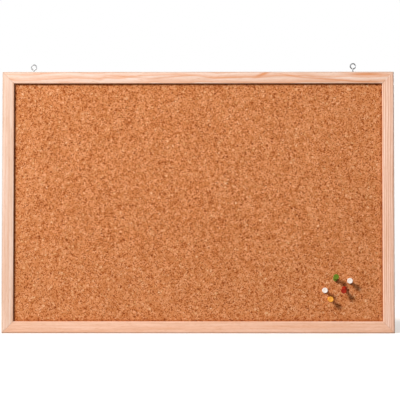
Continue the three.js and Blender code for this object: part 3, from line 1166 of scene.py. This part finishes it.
@dataclass
class ReliefSheet:
    """A flat layer of the panel, one of whose faces has a real relief.

    Attributes:
        name: the piece's name.
        node: the CAD node that it stands for.
        slot: the record's material slot. Not used.
        front_relief: whether the relief is on the front, towards -Y, or on the back.
        spacing: grid spacing in metres.
        heights: size of the relief's bumps and their height, in metres, coarsest first.
        holes: (n, 2) places on X and Z of small holes in the face.
        hole_lines: places in millimetres, from a hole's middle, of the grid's fine lines there.
        border: from the sheet's edge to where its face shows.
        border_fade: how far the painted shade along that border reaches.
    """

    name: str
    node: str
    slot: str
    front_relief: bool
    spacing: float
    heights: Relief
    holes: Array = field(default_factory=lambda: np.zeros((0, 2)))
    hole_radius: float = 0.6 * MM
    hole_depth: float = 2.0 * MM
    hole_lines: tuple[float, ...] = (-1.2, -0.8, -0.55, -0.3, 0.0, 0.3, 0.55, 0.8, 1.2)
    border: float = 0.0
    border_fade: float = 5.0 * MM

    def lines(self, low: float, high: float, centres: Array) -> Array:
        """Works out grid lines along one axis: even ones, and fine ones round each hole.

        Args:
            low: first line.
            high: last line.
            centres: places of the holes on this axis.

        Returns:
            Places of the lines, in order.
        """
        even = np.linspace(low, high, int((high - low) / self.spacing) + 1)
        fine = (centres[:, None] + np.array(self.hole_lines) * MM).ravel()
        near = np.abs(even[:, None] - centres[None]).min(axis=1, initial=math.inf)
        return np.unique(np.concatenate([even[near > max(self.hole_lines) * MM], fine, [low, high]]))

    def face_heights(self, x: Array, z: Array) -> Array:
        """Adds up the relief: noise of each size, and a pit exp(-(r / radius)^4) at each hole.

        Args:
            x: grid of places on X.
            z: grid of places on Z.

        Returns:
            Height of each point above the face's plane.
        """
        total = np.zeros_like(x)
        for seed, (cell, height) in enumerate(self.heights):
            total += height * value_noise(x, z, cell, seed)
        for hole in self.holes:
            spread = np.hypot(x - hole[0], z - hole[1]) / self.hole_radius
            total -= self.hole_depth * np.exp(-spread ** 4)
        return total

    def build(self, material: Material) -> Piece:
        """Makes the face as a grid of heights, its edges as a strip and its plain side as a fan.

        Args:
            material: the sheet's material.

        Returns:
            The sheet.
        """
        low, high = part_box(self.node)
        face, plain = (low.y, high.y) if self.front_relief else (high.y, low.y)
        outward = -1.0 if self.front_relief else 1.0
        columns = self.lines(low.x, high.x, self.holes[:, 0])
        rows = self.lines(low.z, high.z, self.holes[:, 1])
        x, z = np.meshgrid(columns, rows, indexing="ij")
        top = np.stack([x, face + outward * self.face_heights(x, z), z], axis=-1)
        rim = np.concatenate([top[:-1, 0], top[-1, :-1], top[:0:-1, -1], top[0, :0:-1]])
        base = rim.copy()
        base[:, 1] = plain
        hub = np.broadcast_to([(low.x + high.x) / 2, plain, (low.z + high.z) / 2], base.shape)
        from_sides = np.minimum(x - low.x, high.x - x)
        from_ends = np.minimum(z - low.z, high.z - z)
        inside = np.minimum(from_sides, from_ends) - self.border
        # Painted shade: 1 at the border, falling to 0 over border_fade
        shade = np.clip(1 - inside / self.border_fade, 0, 1) * (self.border > 0)
        patches = [Patch(top, eased=shade), Patch(np.stack([rim, base, hub]), wrap=True)]
        sheet = make_piece(self.name, patches)
        fit_out(sheet, material, "board", self.node)
        return sheet


@dataclass
class Panel:
    """The pin-up panel: cork in front, softboard behind it and hardboard at the back.

    Attributes:
        sizes: the board's sizes.
        entries: (n, 2) places on X and Z where the pins go in.
    """

    sizes: BoardSizes
    entries: Array
    cork: CorkFinish = CorkFinish()
    softboard: FibreboardFinish = FibreboardFinish("softboard_fibre", "#a07b52", "#c09c6e", 1.2)
    hardboard: FibreboardFinish = FibreboardFinish("hardboard_screen_back", "#5c3d28", "#7d573b", 1.6, 3.2)
    cork_spacing: float = 2.0 * MM
    cork_relief: Relief = ((6.0 * MM, 0.06 * MM), (3.0 * MM, 0.1 * MM))
    back_spacing: float = 6.0 * MM
    back_relief: Relief = ((60.0 * MM, 0.06 * MM),)

    def build(self) -> None:
        """Makes cork and hardboard with their relief, and dresses the softboard, which stays as it is."""
        border = self.sizes.rail_width - self.sizes.rebate_wall - PANEL_CLEARANCE
        face = ReliefSheet(
            "cork_face", "cork_sheet", "cork", front_relief=True, spacing=self.cork_spacing,
            heights=self.cork_relief, holes=self.entries, border=border,
        )
        face.build(self.cork.build())
        back = ReliefSheet(
            "hardboard_sheet", "hardboard_back", "hardboard", front_relief=False, spacing=self.back_spacing,
            heights=self.back_relief,
        )
        back.build(self.hardboard.build())
        core = frame["nodes"]["softboard_core"]
        core.data.materials.clear()
        core.data.materials.append(self.softboard.build())
        LOG.info("softboard_core: kept as it is, with its own fibre")


class NailPlace(Enum):
    """The two nails of a mitre, by their words in the nodes' names."""

    OUTER = "outer"
    INNER = "inner"


@dataclass
class MitreNail:
    """A V-shaped strip nail across a mitre, its edge just showing in the rails' backs.

    Attributes:
        side: the side whose start is the nail's corner.
        place: which of the corner's nails it is.
        proud: how far its edge stands out of the rails' backs.
        bend_share: share of a leg that the bend takes up.
    """

    side: Side
    place: NailPlace
    leg: float = 2.8 * MM
    thickness: float = 0.5 * MM
    proud: float = 0.05 * MM
    half_angle: float = math.radians(40)
    bend_share: float = 0.35
    bend_steps: int = 7
    edge_steps: int = 4
    edge_radius: float = 0.12 * MM

    def plan(self) -> Array:
        """Draws the V with its rounded bend, on X and Z round its own middle.

        Returns:
            (rows, 3) points in the plane Y = 0.
        """
        across, rise = math.cos(self.half_angle), math.sin(self.half_angle)
        tips = np.array([[across, -rise], [across, rise]]) * self.leg
        bend = bezier((across, -rise), (0.0, 0.0), (across, rise), self.bend_steps)
        outline = np.concatenate([tips[:1], bend * self.bend_share * self.leg, tips[1:]])
        x, z = spun(outline[:, 0], outline[:, 1], self.side.turn + QUARTER / 2)
        points = np.stack([x, np.zeros_like(x), z], axis=1)
        return points - (points.max(axis=0) + points.min(axis=0)) / 2

    def build(self, material: Material) -> Piece:
        """Carries a thin strip section along the V.

        Args:
            material: the nail's material.

        Returns:
            The nail.
        """
        label = f"{self.side.corner}_{self.place.value}"
        low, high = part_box(f"mitre_nail_{label}")
        path = self.plan() + [(low.x + high.x) / 2, 0.0, (low.z + high.z) / 2]
        depth_way = np.array([[0.0, 1.0, 0.0]])
        side_way = np.cross(unit(np.gradient(path, axis=0)), depth_way)
        half = self.thickness / 2
        corners = np.array([[-half, low.y], [half, low.y], [half, self.proud], [-half, self.proud]])
        section = rounded_outline(corners, np.full(4, self.edge_radius), self.edge_steps)
        grid = close_ends(carry(path, section[None], side_way, depth_way))
        nail = make_piece(f"corner_nail_{label}", [Patch(grid, wrap=True)])
        fit_out(nail, material, "board", f"mitre_nail_{label}")
        return nail


@dataclass
class PanelPoint:
    """A flat steel point driven into the rebate to hold the panel, its free end bent up a little.

    Attributes:
        side: the side that it is driven into.
        number: its number along that side.
        sizes: the board's sizes.
        bite: length in the rail.
        show: length over the hardboard.
        tip: length of the tip.
        blunt: share of the width that is left at the tip.
        lift: how far the free end is bent up.
        lift_from: length of the bent end.
        free_round: radius of the free end's corners.
        free_share: share of that radius by which the end narrows.
    """

    side: Side
    number: int
    sizes: BoardSizes
    width: float = 6.0 * MM
    thickness: float = 0.6 * MM
    bite: float = 6.0 * MM
    show: float = 8.0 * MM
    tip: float = 2.5 * MM
    blunt: float = 0.04
    lift: float = 0.7 * MM
    lift_from: float = 4.5 * MM
    free_round: float = 2.2 * MM
    free_share: float = 0.98
    edge_radius: float = 0.15 * MM
    edge_steps: int = 4
    steps: int = 40

    def section(self, run: Array) -> Array:
        """Widens a flat section of half width 1 along the point.

        Half the width grows along the tip, and at the free end loses r - sqrt(r^2 - d^2), where d is the
        way into the round of radius r.

        Args:
            run: (rows,) distances from the tip.

        Returns:
            (rows, columns, 2) sections.
        """
        to_tip = np.clip(run / self.tip, self.blunt, 1.0)
        to_end = np.clip((run[-1] - run) / self.free_round, 0.0, 1.0)
        lost = self.free_round * (1 - np.sqrt(1 - (1 - to_end) ** 2)) * self.free_share
        half = self.thickness / 2
        corners = np.array([[-1.0, -half], [1.0, -half], [1.0, half], [-1.0, half]])
        flat = rounded_outline(corners, np.full(4, self.edge_radius), self.edge_steps)
        grown = np.repeat(flat[None], len(run), axis=0)
        grown[..., 0] *= (self.width / 2 * to_tip - lost)[:, None]
        return grown

    def build(self, material: Material) -> Piece:
        """Carries the section along the point, whose free end bends up as the square of the way into it.

        Args:
            material: the point's material.

        Returns:
            The point.
        """
        label = f"{self.side.label}_{self.number}"
        low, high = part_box(f"panel_point_{label}")
        along = self.sizes.length(self.side) * ((self.number - 0.5) / self.side.point_count - 0.5)
        run = np.linspace(0.0, self.bite + self.show, self.steps)
        bent = np.clip((run - run[-1] + self.lift_from) / self.lift_from, 0.0, 1.0) ** 2 * self.lift
        inward = -self.sizes.rebate_wall + self.bite - run
        path = np.stack([np.full_like(run, along), (low.y + high.y) / 2 + bent, inward], axis=1)
        side_way, up_way = np.array([[1.0, 0.0, 0.0]]), np.array([[0.0, 1.0, 0.0]])
        grid = close_ends(carry(path, self.section(run), side_way, up_way))
        patch = Patch(self.sizes.place(self.side, grid), wrap=True)
        point = make_piece(f"flat_point_{label}", [patch])
        fit_out(point, material, "board", f"panel_point_{label}")
        return point


class EyePlace(Enum):
    """The two screw eyes; the right one's wire is drawn darker and glossier than the left's."""

    LEFT = SteelFinish("nickel_plated_wire", "#a3a5a6", roughness=0.48, contrast=0.2)
    RIGHT = SteelFinish("dull_nickel_wire", "#7f8183", roughness=0.34, contrast=0.3)

    @property
    def label(self) -> str:
        """The eye's word in the nodes' names."""
        return self.name.lower()


@dataclass
class ScrewEye:
    """A wire screw eye in the top rail.

    Attributes:
        place: which of the two it is.
        joint: the hinge that it turns on, as the frame gives it.
        bend_radius: where the stem turns into the ring.
        end_gap: from the stem to the ring's free end.
        plain_shank: length in the rail above the thread.
        run_out: length over which the thread ends.
        end_round: radius of the free end's edge.
        sharp: share of the thread's radius that is left at the tip.
    """

    place: EyePlace
    joint: dict[str, Any]
    outer_radius: float = 4.9 * MM
    wire_radius: float = 0.95 * MM
    bend_radius: float = 1.4 * MM
    end_gap: float = 0.35 * MM
    plain_shank: float = 1.2 * MM
    run_out: float = 0.1 * MM
    thread_radius: float = 1.2 * MM
    root_radius: float = 0.85 * MM
    pitch: float = 1.3 * MM
    point_length: float = 2.2 * MM
    sharp: float = 0.02
    end_round: float = 0.35 * MM
    columns: int = 28
    rows_per_turn: int = 12
    stem_rows: int = 14
    bend_rows: int = 14
    ring_rows: int = 96

    def centre_line(self, foot: float, top: float) -> Array:
        """Works out the wire's centre line on X and Z, up from the shank's tip.

        A straight stem meets a bend of bend_radius, which meets the ring where the sine of the angle from
        straight down is bend_radius / (ring radius + bend_radius). The ring then runs round to its free end,
        which stops end_gap short of the stem.

        Args:
            foot: height of the tip above the rail's edge.
            top: height of the ring's top above the rail's edge.

        Returns:
            (rows, 2) points.
        """
        ring = self.outer_radius - self.wire_radius
        centre = top - self.outer_radius
        start = math.asin(self.bend_radius / (ring + self.bend_radius))
        end = math.asin((self.wire_radius + self.end_gap) / self.outer_radius)
        bend_foot = centre - (ring + self.bend_radius) * math.cos(start)
        shank_rows = int((-self.plain_shank - foot) / self.pitch * self.rows_per_turn)
        shank = np.linspace(foot, -self.plain_shank, shank_rows)
        stem = np.linspace(-self.plain_shank + self.run_out, bend_foot, self.stem_rows)
        straight = np.concatenate([shank, stem])
        line = np.stack([np.zeros_like(straight), straight], axis=1)
        turn = np.linspace(0, QUARTER - start, self.bend_rows)[1:]
        bend = np.stack([1 - np.cos(turn), np.sin(turn)], axis=1) * self.bend_radius + [0, bend_foot]
        angle = np.linspace(start, 2 * math.pi - end, self.ring_rows)[1:]
        loop = np.stack([np.sin(angle), -np.cos(angle)], axis=1) * ring + [0, centre]
        return np.concatenate([line, bend, loop])

    def radii(self, line: Array, around: Array) -> Array:
        """Works out the wire's radius at each row and angle.

        In the rail it is a helical ridge, root + (thread - root) * (1 + cos(2 pi z / pitch - angle)) / 2,
        which tapers to the tip. Above, it is plain wire with a rounded free end.

        Args:
            line: (rows, 2) centre line.
            around: (1, columns) angles.

        Returns:
            (rows, columns) radii.
        """
        rise = line[:, 1:] - line[0, 1]
        ridge = 0.5 + 0.5 * np.cos(2 * math.pi * rise / self.pitch - around)
        taper = np.clip(rise / self.point_length, self.sharp, 1.0)
        thread = taper * (self.root_radius + (self.thread_radius - self.root_radius) * ridge)
        steps = np.linalg.norm(np.diff(line, axis=0), axis=1)
        run = np.concatenate([[0], np.cumsum(steps)])
        left = np.clip((run[-1] - run) / self.end_round, 0.0, 1.0)
        plain = self.wire_radius - self.end_round * (1 - np.sqrt(1 - (1 - left) ** 2))
        threaded = line[:, 1:] < -self.plain_shank + self.run_out / 2
        return np.where(threaded, thread, plain[:, None])

    def build(self) -> Piece:
        """Carries a round section along the centre line.

        Returns:
            The eye.
        """
        node = f"screw_eye_{self.place.label}"
        low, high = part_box(node)
        base = np.array(self.joint["pos_m"])
        line = self.centre_line(low.z - base[2], high.z - base[2])
        path = np.stack([line[:, 0], np.zeros(len(line)), line[:, 1]], axis=1) + base
        front = np.array([[0.0, 1.0, 0.0]])
        side = np.cross(front, unit(np.gradient(path, axis=0)))
        around = np.linspace(0, 2 * math.pi, self.columns, endpoint=False)
        radii = self.radii(line, around[None])
        section = np.stack([radii * np.cos(around), radii * np.sin(around)], axis=-1)
        grid = close_ends(carry(path, section, side, front))
        eye = make_piece(f"wire_eye_{self.place.label}", [Patch(grid, wrap=True)])
        fit_out(eye, self.place.value.build(), f"{self.place.label}_eye", node)
        return eye


class PinColour(Enum):
    """The push pins' plastics: sRGB hex of the plastic and of its flow marks."""

    GREEN = ("#677d1a", "#5c7215")
    WHITE = ("#fbf0e8", "#f3e6dd")
    RED = ("#b02402", "#9c1e02")
    YELLOW = ("#ffb44a", "#f7a83e")

    @property
    def label(self) -> str:
        """The colour's word in the names of materials and slots."""
        return self.name.lower()


@dataclass
class PushPin:
    """A push pin: a moulded grip turned about its axis, and a steel needle.

    Attributes:
        label: the pin's name in the frame.
        joint: the slide that it is pulled out on, as the frame gives it.
        edge: radius of the head's and the flange's edges.
        gate_radius: radius of the nub that the moulding gate leaves.
        seam_height: height of the mould's parting line.
        seam_width: angle that the parting line takes up.
        tip_height: height of the needle's blunt tip.
        point_reach: share of the needle's point at which it is nearly full.
        point_swell: share of the needle's radius there.
    """

    label: str
    joint: dict[str, Any]
    edge: float = 0.5 * MM
    head_radius: float = 4.25 * MM
    head_thickness: float = 2.3 * MM
    dish_radius: float = 2.9 * MM
    dish_depth: float = 0.35 * MM
    gate_radius: float = 0.55 * MM
    gate_height: float = 0.12 * MM
    waist_radius: float = 2.1 * MM
    waist_height: float = 5.6 * MM
    flange_radius: float = 3.8 * MM
    flange_thickness: float = 1.6 * MM
    seam_height: float = 0.06 * MM
    seam_width: float = math.radians(3.5)
    needle_radius: float = 0.55 * MM
    needle_point: float = 2.4 * MM
    tip_radius: float = 0.06 * MM
    tip_height: float = 0.03 * MM
    point_reach: float = 0.85
    point_swell: float = 0.9
    columns: int = 120
    needle_columns: int = 24
    edge_rows: int = 7
    waist_rows: int = 16
    dish_rows: int = 9
    gate_rows: int = 5

    @property
    def colour(self) -> PinColour:
        """The pin's plastic, by the first word of its name."""
        return PinColour[self.label.split("_")[0].upper()]

    def axis(self) -> Array:
        """Returns the direction from the cork out through the head."""
        return unit(np.array(self.joint["axis"], float))

    def reach(self, node: str) -> tuple[Array, float]:
        """Measures a CAD node along the pin's axis.

        Args:
            node: the node's name.

        Returns:
            The point on the axis where the node starts, and its length from there.
        """
        vertices = frame["nodes"][node].data.vertices
        places = np.empty(3 * len(vertices), np.float32)
        vertices.foreach_get("co", places)
        points = places.reshape(-1, 3).astype(float)
        along = points @ self.axis()
        middle = points.mean(axis=0)
        start = middle + (along.min() - middle @ self.axis()) * self.axis()
        return start, float(along.max() - along.min())

    def grip_profile(self, length: float) -> Array:
        """Draws half the grip's outline from the flange's middle to the dish's: radius, then height.

        Flange and head have round edges, two curves with a common narrowest place make the waist, and a
        shallow dish with the moulding gate's nub closes the head.

        Args:
            length: the grip's length.

        Returns:
            (rows, 2) points.
        """
        edge, rows, waist = self.edge, self.edge_rows, self.waist_radius
        flange, head = self.flange_radius - edge, self.head_radius - edge
        over, under = self.flange_thickness, length - self.head_thickness
        narrow = (waist, self.waist_height)
        floor = length - self.dish_depth
        gate = floor + self.gate_height
        dish, nub = self.dish_radius, self.gate_radius
        return np.concatenate([
            [(0.0, 0.0), (self.needle_radius, 0.0), (flange / 2, 0.0)],
            arc((flange, edge), edge, -QUARTER, 0, rows),
            arc((flange, over - edge), edge, 0, QUARTER, rows),
            bezier((flange, over), (waist, over), narrow, self.waist_rows)[1:],
            bezier(narrow, (waist, under), (head, under), self.waist_rows)[1:],
            arc((head, under + edge), edge, -QUARTER, 0, rows)[1:],
            arc((head, length - edge), edge, 0, QUARTER, rows),
            bezier((dish, length), (dish / 2, floor), (nub, floor), self.dish_rows),
            bezier((nub, floor), (nub, gate), (0.0, gate), self.gate_rows)[1:],
        ])

    def needle_profile(self, length: float) -> Array:
        """Draws half the needle's outline from its tip to its seat: radius, then height.

        Args:
            length: the needle's length.

        Returns:
            (rows, 2) points.
        """
        radius, point = self.needle_radius, self.needle_point
        return np.array([
            (0.0, 0.0), (self.tip_radius, self.tip_height),
            (radius * self.point_swell, point * self.point_reach), (radius, point),
            (radius, length / 2), (radius, length), (0.0, length),
        ])

    def turned(self, start: Array, profile: Array, columns: int, seam: float = 0.0) -> Patch:
        """Turns a profile about the pin's axis.

        At angle a its point is start + height * axis + radius * (cos a * side + sin a * up).

        Args:
            start: point on the axis at height 0.
            profile: (rows, 2) radius and height.
            columns: points round the axis.
            seam: height of the mould's parting line, a ridge exp(-(sin a / width)^2) on two sides.

        Returns:
            The turned surface.
        """
        axis = self.axis()
        side = unit(np.cross(axis, [0.0, 0.0, 1.0]))
        up = np.cross(side, axis)
        around = np.linspace(0, 2 * math.pi, columns, endpoint=False)
        ridge = seam * np.exp(-(np.sin(around) / self.seam_width) ** 2)
        radius = profile[:, :1] + ridge * (profile[:, :1] > self.gate_radius)
        section = np.stack([radius * np.cos(around), radius * np.sin(around)], axis=-1)
        path = start + profile[:, 1:] * axis
        return Patch(carry(path, section, side[None], up[None]), wrap=True)

    def entry(self, cork_front: float) -> Array:
        """Works out where the needle's axis meets the cork's face.

        Args:
            cork_front: the cork's front plane on Y.

        Returns:
            The place on X and Z.
        """
        start, _ = self.reach(f"pin_{self.label}_needle")
        axis = self.axis()
        point = start + axis * (cork_front - start[1]) / axis[1]
        return point[[0, 2]]

    def build(self, plastic: Material, steel: Material) -> tuple[Piece, Piece]:
        """Makes the grip and the needle.

        Args:
            plastic: the grip's material.
            steel: the needle's material.

        Returns:
            The grip and the needle.
        """
        body = f"{self.label}_pin"
        node = f"pin_{self.label}_grip"
        start, length = self.reach(node)
        shape = self.turned(start, self.grip_profile(length), self.columns, self.seam_height)
        grip = make_piece(f"push_pin_grip_{self.label}", [shape])
        fit_out(grip, plastic, body, node)
        node = f"pin_{self.label}_needle"
        start, length = self.reach(node)
        shape = self.turned(start, self.needle_profile(length), self.needle_columns)
        needle = make_piece(f"push_pin_needle_{self.label}", [shape])
        fit_out(needle, steel, body, node)
        return grip, needle


@dataclass
class Studio:
    """The plain white set: floor, background, lamps and camera.

    Attributes:
        sizes: the board's sizes.
        floor_z: height of the floor.
        floor_near: how far from the board the floor starts to fade to white.
        floor_far: where it is white.
        floor_white: what the floor glows with near the board, so that its paint looks pale.
        floor_bounce: the floor's colour as the board sees it.
        fill: the background's strength as the board sees it.
        key_way: direction of the key lamp from the board.
        back_place: the back lamp, from the board.
        sight: how far the camera sees.
        picture_pixels: width of the picture.
        pixels_per_metre: the picture's scale at the board.
        view_offset_pixels: the board's middle in the picture, right and down from the picture's middle.
    """

    sizes: BoardSizes
    floor_z: float
    floor_half: float = 9.0
    floor_near: float = 0.9
    floor_far: float = 2.2
    floor_white: float = 0.34
    floor_paint: str = "#e8e8e8"
    floor_bounce: str = "#8c8c8c"
    background: float = 1.0
    fill: float = 0.26
    fill_colour: str = "#ffead4"
    key_way: tuple[float, float, float] = (-0.96, -1.0, 0.87)
    key_distance: float = 4.4
    key_size: float = 1.1
    key_watts: float = 236.0
    back_place: tuple[float, float, float] = (1.6, 2.8, 0.5)
    back_size: float = 1.6
    back_watts: float = 92.0
    lens: float = 135.0
    sensor: float = 36.0
    sight: float = 36.0
    picture_pixels: float = 400.0
    pixels_per_metre: float = 654.6
    view_offset_pixels: tuple[float, float] = (-2.0, 2.1)
    view_from_below: float = math.radians(2.07)
    view_from_right: float = math.radians(0.39)

    def middle(self) -> Vector:
        """Returns the middle of the board's front."""
        return Vector((0.0, -self.sizes.rail_depth, self.sizes.centre_z))

    def seen_ray(self, tree: Tree) -> Socket:
        """Adds a socket that is 1 for camera, glossy and transmission rays, and 0 for the rest.

        Args:
            tree: node tree of a material or world.

        Returns:
            The socket.
        """
        light = add_node(tree, "LightPath").outputs
        pair = {0: light["Is Camera Ray"], 1: light["Is Glossy Ray"]}
        either = add_node(tree, "Math", pair, operation="MAXIMUM").outputs[0]
        three = {0: either, 1: light["Is Transmission Ray"]}
        return add_node(tree, "Math", three, operation="MAXIMUM").outputs[0]

    def floor_material(self) -> Material:
        """Makes the floor: pale paint that keeps shadows near the object and fades to white further off.

        Returns:
            The material.
        """
        material, tree, shader = new_material("pale_floor_paint")
        tree.nodes.remove(shader)
        place = add_node(tree, "TexCoord").outputs["Object"]
        away = add_node(tree, "VectorMath", {0: place}, operation="LENGTH").outputs["Value"]
        reach = {"Value": away, FROM_LOW: self.floor_near, FROM_HIGH: self.floor_far}
        fade = add_node(tree, "MapRange", reach, interpolation_type="SMOOTHSTEP").outputs[0]
        paint = add_node(tree, "BsdfDiffuse", {"Color": linear(self.floor_paint)}).outputs[0]
        glow = add_node(tree, "Emission", {"Strength": self.floor_white}).outputs[0]
        near = add_node(tree, "AddShader", {0: paint, 1: glow}).outputs[0]
        white = add_node(tree, "Emission", {"Strength": self.background}).outputs[0]
        seen = add_node(tree, "MixShader", {0: fade, 1: near, 2: white}).outputs[0]
        bounce = add_node(tree, "BsdfDiffuse", {"Color": linear(self.floor_bounce)}).outputs[0]
        both = add_node(tree, "MixShader", {0: self.seen_ray(tree), 1: bounce, 2: seen}).outputs[0]
        connect(tree, tree.nodes["Material Output"], {"Surface": both})
        return material

    def build_floor(self) -> None:
        """Lays a flat floor under the board."""
        edge = np.array([-self.floor_half, 0.0, self.floor_half])
        x, y = np.meshgrid(edge, edge, indexing="ij")
        floor = make_piece("studio_floor", [Patch(np.stack([x, y, np.full_like(x, self.floor_z)], axis=-1))])
        floor.data.materials.append(self.floor_material())
        if floor.data.polygons[0].normal.z < 0:
            floor.data.flip_normals()
        floor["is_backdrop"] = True

    def build_background(self) -> None:
        """Makes a world that is white to the eye and a weak even fill to the object."""
        world = bpy.data.worlds.new("white_studio")
        world.use_nodes = True
        tree = world.node_tree
        seen = self.seen_ray(tree)
        level = add_node(tree, "MapRange", {"Value": seen, TO_LOW: self.fill, TO_HIGH: self.background})
        tones = {0: seen, MIX_A: linear(self.fill_colour), MIX_B: grey(1.0)}
        colour = add_node(tree, "Mix", tones, data_type="RGBA")
        light = {"Strength": level.outputs["Result"], "Color": colour.outputs[MIX_RESULT]}
        connect(tree, tree.nodes["Background"], light)
        bpy.context.scene.world = world

    def add_lamp(self, name: str, place: Vector, size: float, watts: float) -> None:
        """Hangs a round lamp and points it at the board.

        Args:
            name: the lamp's name.
            place: where it hangs.
            size: its diameter.
            watts: its power.
        """
        lamp = bpy.data.lights.new(name, "AREA")
        lamp.shape = "DISK"
        lamp.size = size
        lamp.energy = watts
        holder = bpy.data.objects.new(name, lamp)
        holder.location = place
        holder.rotation_euler = (self.middle() - place).to_track_quat("-Z", "Y").to_euler()
        bpy.context.scene.collection.objects.link(holder)

    def build_lamps(self) -> None:
        """Hangs the key lamp up to the left in front, and a soft lamp behind that lights the back."""
        key = self.middle() + Vector(self.key_way).normalized() * self.key_distance
        self.add_lamp("key_lamp", key, self.key_size, self.key_watts)
        back = self.middle() + Vector(self.back_place)
        self.add_lamp("back_lamp", back, self.back_size, self.back_watts)

    def build_camera(self) -> None:
        """Sets the camera in front, a little below and right of square, as the outline shows."""
        distance = self.picture_pixels * self.lens / self.sensor / self.pixels_per_metre
        turn = Euler((QUARTER + self.view_from_below, 0.0, self.view_from_right), "XYZ")
        right, down = (pixels / self.pixels_per_metre for pixels in self.view_offset_pixels)
        offset = turn.to_matrix() @ Vector((-right, down, distance))
        camera = bpy.data.cameras.new("front_camera")
        camera.lens = self.lens
        camera.sensor_width = self.sensor
        camera.clip_end = self.sight
        holder = bpy.data.objects.new("front_camera", camera)
        holder.location = self.middle() + offset
        holder.rotation_euler = turn
        bpy.context.scene.collection.objects.link(holder)
        bpy.context.scene.camera = holder

    def build(self) -> None:
        """Sets up the whole studio."""
        self.build_floor()
        self.build_background()
        self.build_lamps()
        self.build_camera()
        bpy.context.scene.view_settings.view_transform = "Standard"


def main() -> None:
    """Builds every piece of the board, and then the studio round it."""
    logging.basicConfig(level=logging.INFO, format="%(name)s: %(message)s")
    cad_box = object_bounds()
    sizes = BoardSizes.from_frame()
    joints = {joint["name"]: joint for joint in frame["joints"]}
    labels = ("green", "white_upper", "red", "white_lower", "yellow")
    pins = [PushPin(label, joints[f"{label}_pin_pull"]) for label in labels]

    for side in Side:
        Rail(side, sizes, PINE[side]).build()
    Panel(sizes, np.array([pin.entry(sizes.cork_front) for pin in pins])).build()

    zinc = SteelFinish("zinc_plated_strip", "#b4b7ba", roughness=0.38, contrast=0.3, patch_mm=3.0).build()
    for side in Side:
        for place in NailPlace:
            MitreNail(side, place).build(zinc)
        for number in range(1, side.point_count + 1):
            PanelPoint(side, number, sizes).build(zinc)

    for eye in EyePlace:
        ScrewEye(eye, joints[f"{eye.label}_eye_turn"]).build()

    bright = SteelFinish("nickel_plated_needle", "#c4c6c8", roughness=0.24, contrast=0.15).build()
    plastics = {
        colour: PlasticFinish(f"polystyrene_{colour.label}", *colour.value).build() for colour in PinColour
    }
    for pin in pins:
        pin.build(plastics[pin.colour], bright)

    Studio(sizes, cad_box[0].z).build()


if __name__ == "__main__":
    main()
